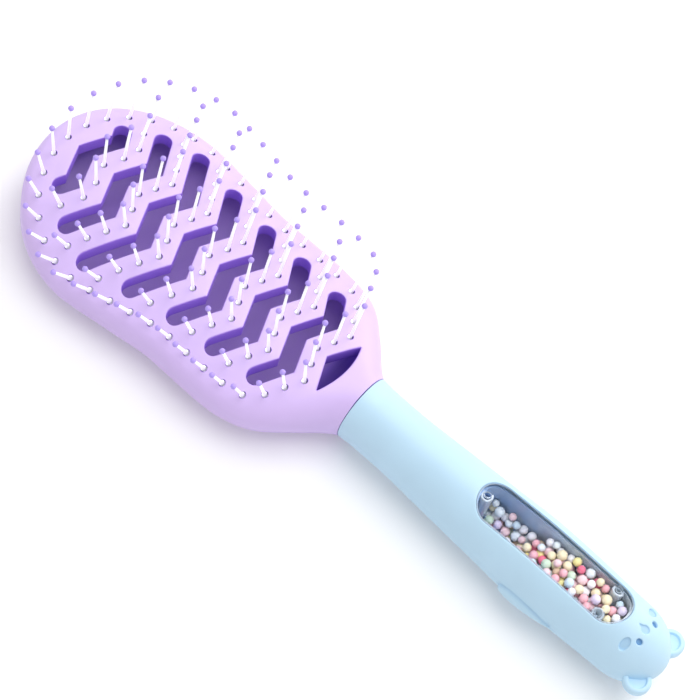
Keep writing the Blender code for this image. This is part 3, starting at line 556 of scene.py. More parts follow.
def edge_ring(index):
    """Places and heights of one ring of the rounded edge, from the sheet down to the side."""
    inset, fall = EDGE[index]
    plate = CHAIN - OUTWARD * inset
    neck = CHAIN * (1, math.cos(NECK_TURNS[index]))
    share = CHAIN_NECK[:, None]
    place = plate * (1 - share) + neck * share
    return place, crown(place[:, 0], place[:, 1]) - fall * (1 - CHAIN_NECK)


def side_ring(share_down):
    """Places and heights of one ring of the side, from the rounded edge to the parting line."""
    place, start = edge_ring(EDGE_STEPS - 1)
    height = start + (-PARTING_DEPTH - start) * share_down
    oval = np.sqrt(1 - np.clip(height / (NECK_HALF * TALL), -1, 0) ** 2)
    narrow = 1 - CHAIN_NECK + CHAIN_NECK * oval
    return place * np.stack([np.ones(len(place)), narrow], -1), height


sheet_edge, _ = edge_ring(0)
print("stations round the sheet of the front:", len(sheet_edge))

# %% Lay the sheet, roll the lips and hang the collars
LIP = 0.45 * MM
LIP_STEPS = 5
WALL_SHARES = np.linspace(0, 1, 6)[1:]
HOLLOW_SHARES = np.linspace(0, 1, 4)[1:]
HOLE_RADIUS = 0.95 * MM
HOLE_LIP = 0.15 * MM
HOLE_SIDES = 16
SKIN_SPACING = 1.5 * MM
HOLLOW_SPACING = 2.4 * MM
PARTING_SPACING = 2.5 * MM
# Amounts of painted shade: under the skin, on the vent walls, towards the neck vent and in the pin holes,
# where less light reaches.
HOLLOW_PAINTED_SHADE = 0.3
WALL_PAINTED_SHADE = 0.55
NECK_PAINTED_SHADE = 0.8
HOLE_PAINTED_SHADE = 1.0


def vent_loop_at(index, margin):
    """The loop of one of the eight vents at a margin."""
    return vent_loop(index, SLOT_HALF + margin) if index < SLOT_COUNT else neck_vent_loop(margin)


def vent_loops(margin):
    """The loops of all eight vents at a margin."""
    return [vent_loop_at(index, margin) for index in range(SLOT_COUNT + 1)]


def hole_loop_at(index, radius, depth):
    """The loop of one pin hole at a depth under the crown, leaning with its pin."""
    foot = FEET[index] - np.array([0, math.tan(LEANS[index]) * depth])
    return foot + circle(HOLE_SIDES) * radius


def hole_loops(radius, depth):
    """The loops of all pin holes at a depth."""
    return [hole_loop_at(index, radius, depth) for index in range(len(FEET))]


def under_crown(places, depth):
    """World points of flat points (run, across), a depth under the crown."""
    return on_head(places[:, 0], places[:, 1], crown(places[:, 0], places[:, 1]) - depth)


def lay_head_skin(shell):
    """The sheet, its rounded edge, the side and the end at the seam. Returns the loops of the sheet."""
    def on_top(run, across):
        return on_head(run, across, crown(run, across))

    holes = vent_loops(LIP) + hole_loops(HOLE_RADIUS + HOLE_LIP, 0)
    loops = lay_sheet(shell, sheet_edge, holes, SKIN_SPACING, on_top)
    rings = [edge_ring(index) for index in range(1, EDGE_STEPS)]
    rings += [side_ring(share) for share in SIDE_SHARES]
    rows = [loops[0]] + [shell.add(on_head(*place.T, height)) for place, height in rings]
    for first, second in zip(rows, rows[1:]):
        shell.bridge(first, second, closed=False)
    shell.faces.append(tuple([row[0] for row in reversed(rows)] + [row[-1] for row in rows]))
    return loops


def lay_hollow(shell):
    """The hollow under the sheet, open at the parting line. Returns the loops of its ceiling."""
    def under_skin_of_head(run, across):
        return on_head(run, across, crown(run, across) - SKIN)

    def at_parting(run, across):
        return on_head(run, across, -PARTING_DEPTH)

    chain, outward = outline_chain(HEAD_LENGTH - HOLLOW_END)
    inner = chain - outward * SIDE_WALL
    inner[[0, -1], 0] = HEAD_LENGTH - HOLLOW_END
    holes = vent_loops(COLLAR_WALL) + hole_loops(HOLE_RADIUS, SKIN)
    # The ceiling of the hollow and its walls take painted shade.
    loops = lay_sheet(shell, inner, holes, HOLLOW_SPACING, under_skin_of_head, HOLLOW_PAINTED_SHADE)
    top = crown(inner[:, 0], inner[:, 1]) - SKIN
    rings = [on_head(*inner.T, top - (PARTING_DEPTH + top) * share) for share in HOLLOW_SHARES]
    shell.walk(loops[0], rings, WALL_PAINTED_SHADE)
    outer, _ = side_ring(1)
    lay_sheet(shell, outer, [inner], PARTING_SPACING, at_parting)
    return loops


def line_vent(shell, index, top, ceiling):
    """The rolled lip, the wall and the collar of one vent, from its loop on top to its loop in the hollow."""
    # The lip darkens into the vent wall, and the neck vent darker still, as painted shade.
    last_tint = WALL_PAINTED_SHADE if index < SLOT_COUNT else NECK_PAINTED_SHADE
    lip = [under_crown(vent_loop_at(index, inset), fall) for inset, fall in quarter_round(LIP, LIP_STEPS)[1:]]
    tints = [WALL_PAINTED_SHADE * math.sin(turn) ** 2 for turn in np.linspace(0, math.pi / 2, LIP_STEPS)[1:]]
    wall = [under_crown(vent_loop_at(index, 0), LIP + (COLLAR_DEPTH - LIP) * share) for share in WALL_SHARES]
    tints += [WALL_PAINTED_SHADE + (last_tint - WALL_PAINTED_SHADE) * share for share in WALL_SHARES]
    collar = under_crown(vent_loop_at(index, COLLAR_WALL), COLLAR_DEPTH)
    shell.bridge(shell.walk(top, [*lip, *wall, collar], [*tints, last_tint]), ceiling)


def line_hole(shell, index, top, ceiling):
    """The wall of one pin hole, from its loop on top to its loop in the hollow."""
    rings = [under_crown(hole_loop_at(index, HOLE_RADIUS, depth), depth) for depth in (HOLE_LIP, SKIN / 2)]
    # The wall of a pin hole is painted in deep shade.
    shell.bridge(shell.walk(top, rings, HOLE_PAINTED_SHADE), ceiling)


def head_front():
    """The closed front moulding of the head."""
    shell = Shell()
    tops = lay_head_skin(shell)[1:]
    ceilings = lay_hollow(shell)[1:]
    vents = SLOT_COUNT + 1
    for index in range(vents):
        line_vent(shell, index, tops[index], ceilings[index])
    for index in range(len(FEET)):
        line_hole(shell, index, tops[vents + index], ceilings[vents + index])
    return shell


front_of_head = close_up("head_front", head_front())

# %% [markdown]
# ## The back of the head
#
# The back is a separate moulding with a full belly, flattened where the brush rests. It could be
# sculpted, but its sections follow one rule, so it is lofted from rings of points along the head,
# once for the outside and once for the hollow.

# %% Loft the back
BELLY_DEPTH = 14.2 * MM
BELLY_POWER = 2.2
BACK_WALL = 1.8 * MM
SEAM_LINE = 0.04 * MM
RING_POINTS = 45
REST_SOFTNESS = 0.5 * MM
REST_REACH = 4 * REST_SOFTNESS
# Where the painted shade of the back's hollow starts to deepen towards the neck, and over what length.
DARK_START = LAST_SLOT_TO_SEAM - 6 * MM
DARK_LENGTH = 5 * MM


def rest_flat(z, floor):
    """Heights of the belly, which flattens softly where the brush rests."""
    over = z - floor
    pushed = floor + REST_SOFTNESS * np.logaddexp(0, over / REST_SOFTNESS)
    lifted = pushed - REST_SOFTNESS * math.log(2) * np.exp(-np.abs(over) / REST_SOFTNESS)
    return np.where(z < floor + REST_REACH, np.maximum(lifted, floor), z)


def belly_ring(run, wall):
    """World points of one section of the back, from one parting edge to the other."""
    turns = np.linspace(0, math.pi, RING_POINTS)
    swing = np.sign(np.cos(turns)) * np.abs(np.cos(turns)) ** (2 / BELLY_POWER)
    full = min(run / NOSE_LENGTH, 1)
    depth = (BELLY_DEPTH - PARTING_DEPTH) * math.sqrt(full * (2 - full))
    wide = max(float(half_width(run)) - wall, 0)
    belly_y = wide * swing
    belly_z = -PARTING_DEPTH - max(depth - wall, 0) * np.sin(turns) ** (2 / BELLY_POWER)
    tall = NECK_HALF * TALL - wall
    low = math.asin(PARTING_DEPTH / tall)
    bends = low + (math.pi - 2 * low) * turns / math.pi
    neck_y = wide * np.cos(bends)
    neck_z = -tall * np.sin(bends)
    share = float(neck_share(run))
    y = belly_y * (1 - share) + neck_y * share
    z = rest_flat(belly_z * (1 - share) + neck_z * share, wall - AXIS_Z)
    z = np.minimum(z, -PARTING_DEPTH)
    z[[0, -1]] = -PARTING_DEPTH
    return on_head(run, y, z - SEAM_LINE)


def head_back():
    """The closed back moulding of the head."""
    shell = Shell()
    runs = head_runs(TOP_END)
    outer = shell.stack([belly_ring(run, 0) for run in runs], closed=False)
    inner_runs = BACK_WALL + (runs - runs[0]) * (HEAD_LENGTH - HOLLOW_END - BACK_WALL) / (runs[-1] - runs[0])
    hollow = [belly_ring(run, BACK_WALL) for run in inner_runs]
    # The hollow of the back is painted darker towards the neck, as painted shade.
    deeper = ease((inner_runs - (HEAD_LENGTH - DARK_START)) / DARK_LENGTH)
    inner = shell.stack(hollow, closed=False, tints=HOLLOW_PAINTED_SHADE + (NECK_PAINTED_SHADE - HOLLOW_PAINTED_SHADE) * deeper)
    for side in (0, -1):
        shell.bridge([row[side] for row in outer], [row[side] for row in inner], closed=False)
    shell.bridge(outer[0], inner[0], closed=False)
    shell.bridge(outer[-1], inner[-1], closed=False)
    return shell


back_of_head = close_up("head_back", head_back())

# %% [markdown]
# ## The tang
#
# A short round tang behind the neck pushes into the handle, and a groove in it snaps over a rib.
# It is turned from a profile.

# %% Turn the tang
TANG_RADIUS = 7 * MM
GROOVE_RADIUS = 6.2 * MM
TANG_SIDES = 48
TANG_PROFILE = (
    (-3 * MM, TANG_RADIUS), (9 * MM, TANG_RADIUS), (9.2 * MM, GROOVE_RADIUS), (11.8 * MM, GROOVE_RADIUS),
    (12 * MM, TANG_RADIUS), (17.5 * MM, TANG_RADIUS), (18 * MM, 6.5 * MM),
)


def turn_closed(shell, profile, sides, centre, upright=False):
    """Add a form turned through (place, radius) pairs along its axis and capped at both ends."""
    rings = []
    for place, radius in profile:
        flat = circle(sides) * radius
        places = np.full((sides, 1), place)
        ring = np.hstack([flat, places] if upright else [places, flat])
        rings.append(ring + np.array(centre))
    rows = shell.stack(rings)
    shell.faces += [tuple(rows[0][::-1]), tuple(rows[-1])]


tang = Shell()
turn_closed(tang, TANG_PROFILE, TANG_SIDES, (SEAM_X, 0, AXIS_Z))
tang_piece = close_up("tang", tang)

# %% [markdown]
# ## Pins from one drawing
#
# Ninety-eight pins are the same drawing at different places, which is what Geometry Nodes are
# for. A mesh holds only the feet and their directions. The tree stands a shaft with a ball tip on
# each foot, turns it along its direction and realizes the result into plain faces.

# %% Helpers for node trees
SOCKET_KINDS = {float: "NodeSocketFloat", int: "NodeSocketInt", bpy.types.Material: "NodeSocketMaterial"}


def feed(tree, socket, value):
    """Link an output to a socket, or set the socket's own value."""
    if isinstance(value, bpy.types.NodeSocket):
        tree.links.new(value, socket)
    else:
        socket.default_value = value


def add_node(tree, kind, settings=(), **inputs):
    """Add a node, apply its settings, feed its inputs by name and return its first output."""
    node = tree.nodes.new(kind)
    for label, value in settings:
        setattr(node, label, value)
    for label, value in inputs.items():
        feed(tree, node.inputs[label.replace("_", " ")], value)
    return node.outputs[0]


def sums(tree, first, second, operation="ADD"):
    """Output of a sum, or of another operation, of two outputs or numbers."""
    result = add_node(tree, "ShaderNodeMath", [("operation", operation)])
    for socket, value in zip(result.node.inputs, (first, second)):
        feed(tree, socket, value)
    return result


def new_tree(name, values):
    """A geometry tree that takes points and named sizes, and the outputs of its first node."""
    tree = bpy.data.node_groups.new(name, "GeometryNodeTree")
    tree.interface.new_socket("Points", in_out="INPUT", socket_type="NodeSocketGeometry")
    for label, value in values.items():
        socket = tree.interface.new_socket(label, in_out="INPUT", socket_type=SOCKET_KINDS[type(value)])
        socket.default_value = value
    tree.interface.new_socket("Geometry", in_out="OUTPUT", socket_type="NodeSocketGeometry")
    return tree, tree.nodes.new("NodeGroupInput").outputs


def close_tree(tree, size, geometry):
    """Give the geometry its finish and lead it out of the tree."""
    made = add_node(tree, "GeometryNodeSetMaterial", Geometry=geometry, Material=size["Finish"])
    feed(tree, tree.nodes.new("NodeGroupOutput").inputs[0], made)
    return tree


def point_mesh(name, points, values):
    """A mesh of loose points that carries named values."""
    mesh = bpy.data.meshes.new(name)
    mesh.from_pydata([tuple(point) for point in points], [], [])
    for label, kind, data in values:
        attribute = mesh.attributes.new(label, kind, "POINT")
        field = "vector" if kind == "FLOAT_VECTOR" else "value"
        attribute.data.foreach_set(field, np.asarray(data, np.float32).ravel())
    return place_object(name, mesh)


def grow(name, carrier, tree, values):
    """Run a tree on a carrier, keep the result as a plain mesh object and drop the carrier."""
    modifier = carrier.modifiers.new("grow", "NODES")
    modifier.node_group = tree
    for item in tree.interface.items_tree:
        if item.name in values:
            modifier[item.identifier] = values[item.name]
    bpy.context.view_layer.update()
    evaluated = carrier.evaluated_get(bpy.context.evaluated_depsgraph_get())
    mesh = bpy.data.meshes.new_from_object(evaluated)
    piece = place_object(name, mesh)
    bpy.data.objects.remove(carrier, do_unlink=True)
    print(name, "has", len(mesh.polygons), "faces")
    return piece


print("kinds of sizes that a tree can take:", len(SOCKET_KINDS))

# %% Materials that the trees set
def plain_material(name):
    """A Principled material with nothing set, to be finished in the cells on finishes."""
    material = bpy.data.materials.new(name)
    material.use_nodes = True
    return material


PIN_FINISH = plain_material("nylon_pins")
STRIP_FINISH = plain_material("nylon_strips")
BEAD_FINISH = plain_material("foam_beads")
print("to be finished later:", PIN_FINISH.name, STRIP_FINISH.name, BEAD_FINISH.name)

# %% Draw a pin once and stand it on every foot
PIN_SIZES = {
    "Length": 16 * MM, "Root": SKIN + 0.9 * MM, "Top Radius": 0.38 * MM, "Foot Radius": 0.54 * MM,
    "Tip Radius": 0.88 * MM, "Finish": PIN_FINISH,
}
SHAFT_SIDES = 10
FOOT_SIDES = 14
TIP_SIDES = 12
TIP_RINGS = 8
FOOT_HALVES = (0.61 * MM, 0.86 * MM)
FOOT_SHIFT = -0.29 * MM
FOOT_DROP = 0.02 * MM


def moved(tree, geometry, x=0.0, z=0.0, scale=(1, 1, 1)):
    """The geometry scaled and then moved sideways and up."""
    way = add_node(tree, "ShaderNodeCombineXYZ", X=x, Z=z)
    return add_node(tree, "GeometryNodeTransform", Geometry=geometry, Translation=way, Scale=scale)


def joined(tree, *parts):
    """Several geometries as one."""
    result = add_node(tree, "GeometryNodeJoinGeometry")
    for part in parts:
        feed(tree, result.node.inputs[0], part)
    return result


def pin_tree():
    """A tree that stands a ball-tipped pin with a flat foot on each point, along its direction."""
    tree, size = new_tree("ball_tipped_pins", PIN_SIZES)
    length, root = size["Length"], size["Root"]
    shaft = add_node(tree, "GeometryNodeMeshCone", Vertices=SHAFT_SIDES, Side_Segments=2,
                     Radius_Top=size["Top Radius"], Radius_Bottom=size["Foot Radius"],
                     Depth=sums(tree, length, root))
    shaft = moved(tree, shaft, z=sums(tree, root, -1.0, "MULTIPLY"))
    deep = sums(tree, root, -FOOT_DROP)
    middle = sums(tree, sums(tree, deep, 0.5, "MULTIPLY"), -1.0, "MULTIPLY")
    foot = add_node(tree, "GeometryNodeMeshCylinder", Vertices=FOOT_SIDES, Radius=1.0, Depth=1.0)
    squash = add_node(tree, "ShaderNodeCombineXYZ", X=FOOT_HALVES[0], Y=FOOT_HALVES[1], Z=deep)
    foot = moved(tree, foot, x=FOOT_SHIFT, z=sums(tree, middle, -FOOT_DROP), scale=squash)
    ball = add_node(tree, "GeometryNodeMeshUVSphere", Segments=TIP_SIDES, Rings=TIP_RINGS,
                    Radius=size["Tip Radius"])
    ball = moved(tree, ball, z=length)
    stored = [("data_type", "FLOAT"), ("domain", "POINT")]
    ball = add_node(tree, "GeometryNodeStoreNamedAttribute", stored, Geometry=ball, Name="tip", Value=1.0)
    smooth = add_node(tree, "GeometryNodeSetShadeSmooth", Geometry=joined(tree, shaft, ball))
    way = add_node(tree, "GeometryNodeInputNamedAttribute", [("data_type", "FLOAT_VECTOR")], Name="direction")
    turn = add_node(tree, "FunctionNodeAlignRotationToVector", [("axis", "Z")], Vector=way)
    dots = add_node(tree, "GeometryNodeMeshToPoints", Mesh=size["Points"])
    stood = add_node(tree, "GeometryNodeInstanceOnPoints", Points=dots, Instance=joined(tree, smooth, foot),
                     Rotation=turn)
    return close_tree(tree, size, add_node(tree, "GeometryNodeRealizeInstances", Geometry=stood))


feet_points = on_head(*FEET.T, crown(*FEET.T))
directions = np.stack([np.zeros(len(FEET)), np.sin(LEANS), np.cos(LEANS)], -1)
feet = point_mesh("feet", feet_points, [("direction", "FLOAT_VECTOR", directions)])
pins = grow("pins", feet, pin_tree(), PIN_SIZES)

# %% [markdown]
# ## Strips that carry the pins
#
# Each row of pins grows from a thin strip under the skin, which shows as a pale ring at the
# bottom of every hole. A strip follows a path, so a tree turns the path into a curve and sweeps
# a flat profile along it.

# %% Sweep the strips along their rows
STRIP_THICK = 1.6 * MM
STRIP_DROP = 0.4 * MM
STRIP_END = 1.0 * MM
STRIP_SIZES = {"Half Width": 1.24 * MM, "Thickness": STRIP_THICK, "Finish": STRIP_FINISH}


def strip_tree():
    """A tree that sweeps a flat profile along the edges of a mesh."""
    tree, size = new_tree("pin_strips", STRIP_SIZES)
    path = add_node(tree, "GeometryNodeMeshToCurve", Mesh=size["Points"])
    upright = add_node(tree, "GeometryNodeSetCurveNormal", [("mode", "Z_UP")], Curve=path)
    whole = sums(tree, size["Half Width"], 2.0, "MULTIPLY")
    flat = add_node(tree, "GeometryNodeCurvePrimitiveQuadrilateral", Width=whole, Height=size["Thickness"])
    swept = add_node(tree, "GeometryNodeCurveToMesh", Curve=upright, Profile_Curve=flat, Fill_Caps=True)
    return close_tree(tree, size, add_node(tree, "GeometryNodeRealizeInstances", Geometry=swept))


def strip_paths():
    """A mesh of edges that run along every row of pins, under the skin."""
    firsts = np.cumsum([RIM_COUNT, *ROW_COUNTS[:-1]])
    points, edges = [], []
    for row in np.split(FEET, firsts):
        ends = np.linalg.norm(row[1] - row[0]), np.linalg.norm(row[-1] - row[-2])
        before = row[0] + (row[0] - row[1]) * STRIP_END / ends[0]
        after = row[-1] + (row[-1] - row[-2]) * STRIP_END / ends[1]
        row = np.concatenate([[before], row, [after]])
        height = crown(*row.T) - SKIN - STRIP_DROP - STRIP_THICK / 2
        edges += [(len(points) + index, len(points) + index + 1) for index in range(len(row) - 1)]
        points += on_head(*row.T, height).tolist()
    mesh = bpy.data.meshes.new("strip_paths")
    mesh.from_pydata(points, edges, [])
    return place_object("strip_paths", mesh)


strips = grow("pin_strips", strip_paths(), strip_tree(), STRIP_SIZES)

# %% [markdown]
# ## The form of the handle
#
# The handle is a tall oval that swells towards its round end. Its skin unrolls onto a flat sheet:
# one flat direction runs along the handle and over its end, the other runs round it. Holes can
# then be drawn flat, with the same fill as for the head, and rolled back into place.

# %% Unroll the skin of the handle
HANDLE_HALF = 12.2 * MM
HANDLE_WALL = 2 * MM
END_ROUND = 14.5 * MM
BODY_END = HANDLE_LENGTH - 0.5 * MM
CAP_START = BODY_END - END_ROUND
PROFILE = (
    (0.0, 0.82), (0.06, 0.795), (0.18, 0.80), (0.34, 0.865), (0.5, 0.93),
    (0.67, 0.995), (0.83, 0.97), (1.0, 0.92),
)
ROUND_LENGTH = 12.95 * MM
GIRTH = 11.5 * MM
BORE_LENGTH = 20 * MM
BORE_RADIUS = 7.3 * MM
FLAT_SOFTNESS = 0.3 * MM
PROBE = MM / 20


def handle_half(place):
    """Half width of the handle at a distance from the seam, without its round end."""
    return HANDLE_HALF * smooth_curve(PROFILE, np.asarray(place, float) / CAP_START)


def handle_half_at(place):
    """Half width of the handle at a distance from the seam, with its round end."""
    place = np.asarray(place, float)
    over = np.clip((place - CAP_START) / END_ROUND, 0, 1)
    return handle_half(place) * np.sqrt(1 - over ** 2)


def soft_floor(height, floor):
    """Heights that never go under a floor and reach it softly."""
    over = height - floor
    return floor + (over + np.sqrt(over ** 2 + FLAT_SOFTNESS ** 2)) / 2


def unrolled(place, across):
    """Flat points for distances from the seam and places across, seen from above or below."""
    over = np.arcsin(np.clip((np.asarray(place, float) - CAP_START) / END_ROUND, 0, 1))
    along = np.minimum(place, CAP_START) + over * ROUND_LENGTH
    round_it = np.arcsin(np.clip(across / handle_half_at(place), -1, 1)) * GIRTH
    return np.stack([along, round_it], -1)


def rolled(along, round_it, side, wall=0.0):
    """World points from flat points, on the front (side 1) or the back (side -1), a wall inside the skin."""
    along, round_it = np.broadcast_arrays(np.asarray(along, float), np.asarray(round_it, float))
    over = np.clip(along - CAP_START, 0, None) / ROUND_LENGTH
    place = np.minimum(along, CAP_START) + (END_ROUND - wall) * np.sin(over)
    half = (handle_half(np.minimum(place, CAP_START)) - wall) * np.cos(over)
    tall = TALL * half
    if wall >= HANDLE_WALL:
        bore = ease((along - BORE_LENGTH) / MM)
        half = BORE_RADIUS + (half - BORE_RADIUS) * bore
        tall = BORE_RADIUS + (tall - BORE_RADIUS) * bore
    turn = round_it / GIRTH
    height = side * tall * np.cos(turn)
    if side < 0:
        height = soft_floor(height, wall - AXIS_Z)
    return np.stack([place + SEAM_X, half * np.sin(turn), height + AXIS_Z], -1)


def outwards(along, round_it, side):
    """Outward directions of the skin at flat points."""
    ahead = rolled(along + PROBE, round_it, side) - rolled(along - PROBE, round_it, side)
    sideways = rolled(along, round_it + PROBE, side) - rolled(along, round_it - PROBE, side)
    normal = np.cross(ahead, sideways) * side
    return normal / np.linalg.norm(normal, axis=-1, keepdims=True)


def sunk(loop, side, depth):
    """World points of a flat loop, a depth under the skin."""
    return rolled(*loop.T, side) - outwards(*loop.T, side) * depth


print("half width of the handle at half its length:", round(float(handle_half(HANDLE_LENGTH / 2)), 4))

# %% [markdown]
# ## The window and the face
#
# The window is a long slot with round ends, drawn as seen from above. The face is five shallow
# recesses: two eyes, two cheeks and a nose like a drop with its point towards the head. Each has
# a soft rim, a short wall and a flat floor, and painted shade that darkens it, most in the eyes.

# %% Draw the window and the recesses
WINDOW_START = 43 * MM
WINDOW_LENGTH = 54 * MM
WINDOW_HALF = 6.6 * MM
WINDOW_LIP = 0.5 * MM
WINDOW_END = WINDOW_START + WINDOW_LENGTH
NEAR_CENTRE = WINDOW_START + WINDOW_HALF
FAR_CENTRE = WINDOW_END - WINDOW_HALF
ROUND_END_POINTS = 20
STRAIGHT_POINTS = 44
FACE_POINTS = 28
FACE_RIM = 0.35 * MM
FACE_DEPTH = 0.7 * MM
# Painted shade in the recesses: some in the cheeks and the nose, full in the eyes.
FACE_PAINTED_SHADE = 0.35
EYE_TO_END = 10.2 * MM
EYE_TURN = math.radians(20)
EYE_HALVES = (0.9 * MM, 0.9 * MM)
EYE_DEPTH = 1.2 * MM
EYE_PAINTED_SHADE = 1.0
CHEEK_TO_END = 12.9 * MM
CHEEK_TURN = math.radians(36)
CHEEK_HALVES = (1.15 * MM, 2.1 * MM)
NOSE_TO_END = 11.2 * MM
NOSE_RADIUS = 1.2 * MM
NOSE_TAIL = 0.9 * MM
NOSE_TAIL_POWER = 24
NOSE_DEPTH = 0.55 * MM
NOSE_POINTS = 60


def window_loop(margin):
    """Closed loop (place, across) round the window, moved out by a margin."""
    half = WINDOW_HALF + margin
    turns = np.linspace(-math.pi / 2, math.pi / 2, ROUND_END_POINTS)
    straight = np.linspace(FAR_CENTRE, NEAR_CENTRE, STRAIGHT_POINTS)[1:-1]
    far_end = np.stack([FAR_CENTRE + half * np.cos(turns), half * np.sin(turns)], -1)
    near_end = np.stack([NEAR_CENTRE - half * np.cos(turns), -half * np.sin(turns)], -1)
    left = np.stack([straight, np.full(len(straight), half)], -1)
    right = np.stack([straight[::-1], np.full(len(straight), -half)], -1)
    return np.concatenate([far_end, left, near_end, right])


def oval(to_end, turn, halves, points=FACE_POINTS):
    """Centre and flat loop of an oval recess, a distance before the end and a turn round the handle."""
    place = HANDLE_LENGTH - to_end
    centre = unrolled(place, 0) + (0, turn * GIRTH)
    return centre, circle(points) * halves * (1, GIRTH / float(handle_half_at(place)))


def drop(to_end, radius, tail):
    """Centre and flat loop of a drop whose point lies towards the head."""
    centre, loop = oval(to_end, 0, (radius, radius), NOSE_POINTS)
    behind = np.clip(-loop[:, 0] / radius, 0, 1)
    loop[:, 0] -= tail * behind ** NOSE_TAIL_POWER
    return centre, loop


FACE = [(oval(EYE_TO_END, side * EYE_TURN, EYE_HALVES), EYE_DEPTH, EYE_PAINTED_SHADE) for side in (-1, 1)]
FACE += [(oval(CHEEK_TO_END, side * CHEEK_TURN, CHEEK_HALVES), FACE_DEPTH, FACE_PAINTED_SHADE) for side in (-1, 1)]
FACE += [(drop(NOSE_TO_END, NOSE_RADIUS, NOSE_TAIL), NOSE_DEPTH, FACE_PAINTED_SHADE)]
print("recesses in the face:", len(FACE))

# %% [markdown]
# ## Both shells of the handle
#
# A front and a back shell meet on the axis. Each is an outer sheet and an inner sheet, joined
# along the parting line and at the mouth of the bore. The back shell carries two raised arms and
# three screw wells.

# %% Lay the two sheets of a handle shell
# The inside of both handle shells takes a little painted shade.
INSIDE_PAINTED_SHADE = 0.1
EDGE_TURN = math.radians(89.93)
END_OVER = math.radians(88)
ALONG_POINTS = 120
ROUND_POINTS = 36
FAR_CORNERS = (ALONG_POINTS - 1, ALONG_POINTS + ROUND_POINTS - 2)
OUTER_SPACING = 1.1 * MM
INNER_SPACING = 2.6 * MM


def sheet_border():
    """Flat loop round half of the handle's skin."""
    first, last = SEAM_GAP / 2, CAP_START + END_OVER * ROUND_LENGTH
    half = EDGE_TURN * GIRTH
    alongs = np.linspace(first, last, ALONG_POINTS)
    rounds = np.linspace(-half, half, ROUND_POINTS)
    near = np.stack([np.full(ROUND_POINTS, first), rounds[::-1]], -1)
    far = np.stack([np.full(ROUND_POINTS, last), rounds], -1)
    right = np.stack([alongs, np.full(ALONG_POINTS, -half)], -1)
    left = np.stack([alongs[::-1], np.full(ALONG_POINTS, half)], -1)
    return np.concatenate([right[:-1], far[:-1], left[:-1], near[:-1]])


def on_skin(side, wall=0.0):
    """The lift of a sheet that lies on the handle's skin, or a wall inside it."""
    def lift(along, round_it):
        return rolled(along, round_it, side, wall)
    return lift


def lay_shell(shell, side, outer_holes, inner_holes):
    """Lay both sheets of one shell, join their borders and return the loops of the holes."""
    border = sheet_border()
    outer = lay_sheet(shell, border, outer_holes, OUTER_SPACING, on_skin(side))
    inner = lay_sheet(shell, border, inner_holes, INNER_SPACING, on_skin(side, HANDLE_WALL), INSIDE_PAINTED_SHADE)
    tip_along = CAP_START + ROUND_LENGTH * math.pi / 2
    tips = [shell.add(rolled(tip_along, 0, side, wall))[0] for wall in (0, HANDLE_WALL)]
    for index in range(len(border)):
        after = (index + 1) % len(border)
        if FAR_CORNERS[0] <= index < FAR_CORNERS[1]:
            shell.faces.append((outer[0][index], outer[0][after], tips[0]))
            shell.faces.append((inner[0][index], inner[0][after], tips[1]))
        else:
            shell.faces.append((outer[0][index], outer[0][after], inner[0][after], inner[0][index]))
    for corner in FAR_CORNERS:
        shell.faces.append((outer[0][corner], tips[0], tips[1], inner[0][corner]))
    return outer[1:], inner[1:]


print("points round half of the handle's skin:", len(sheet_border()))

# %% Open the window and sink the face in the front shell
WINDOW_LIP_STEPS = 6
FACE_RIM_STEPS = 5
RECESS_SHARES = ((1, 0.8), (0.96, 0.93), (0.88, 1.0), (0.45, 1.0))


def unrolled_inside(plan):
    """Flat points of a plan loop on the inner sheet."""
    half = handle_half_at(plan[:, 0]) - HANDLE_WALL
    return np.stack([plan[:, 0], np.arcsin(plan[:, 1] / half) * GIRTH], -1)


def recess_loop(centre, loop, margin):
    """Flat loop of a recess, moved out by a margin."""
    return centre + loop * (1 + margin / np.linalg.norm(loop, axis=1, keepdims=True))


def window_ring(margin, depth):
    """World points round the window, moved out by a margin and down by a depth."""
    return rolled(*unrolled(*window_loop(margin).T).T, 1) - (0, 0, depth)


def handle_front():
    """The closed front shell of the handle, with its window and face."""
    shell = Shell()
    holes = [unrolled(*window_loop(WINDOW_LIP).T)]
    holes += [recess_loop(centre, loop, FACE_RIM) for (centre, loop), _, _ in FACE]
    outer, inner = lay_shell(shell, 1, holes, [unrolled_inside(window_loop(0))])
    rings = [window_ring(*step) for step in quarter_round(WINDOW_LIP, WINDOW_LIP_STEPS)[1:]]
    shell.bridge(shell.walk(outer[0], rings), inner[0])
    for start, ((centre, loop), depth, tint) in zip(outer[1:], FACE):
        rings = [sunk(recess_loop(centre, loop, inset), 1, fall)
                 for inset, fall in quarter_round(FACE_RIM, FACE_RIM_STEPS)[1:]]
        start = shell.walk(start, rings)
        # The floor of each recess takes its painted shade.
        rings = [sunk(centre + loop * size, 1, depth * share) for size, share in RECESS_SHARES]
        shell.faces.append(tuple(shell.walk(start, rings, tint)))
    return shell


front_of_handle = close_up("handle_front", handle_front(), WIDE_MERGE)

# %% Raise the arms and cut the screw wells in the back shell
ARM_START = 63.2 * MM
ARM_LENGTH = 20 * MM
ARM_TRIM = 0.2 * MM
ARM_POINTS = 40
ARM_SPACING = 0.4 * MM
ARM_LOW = 2.8 * MM
ARM_HALF = 2.6 * MM
ARM_PROUD = 1.8 * MM
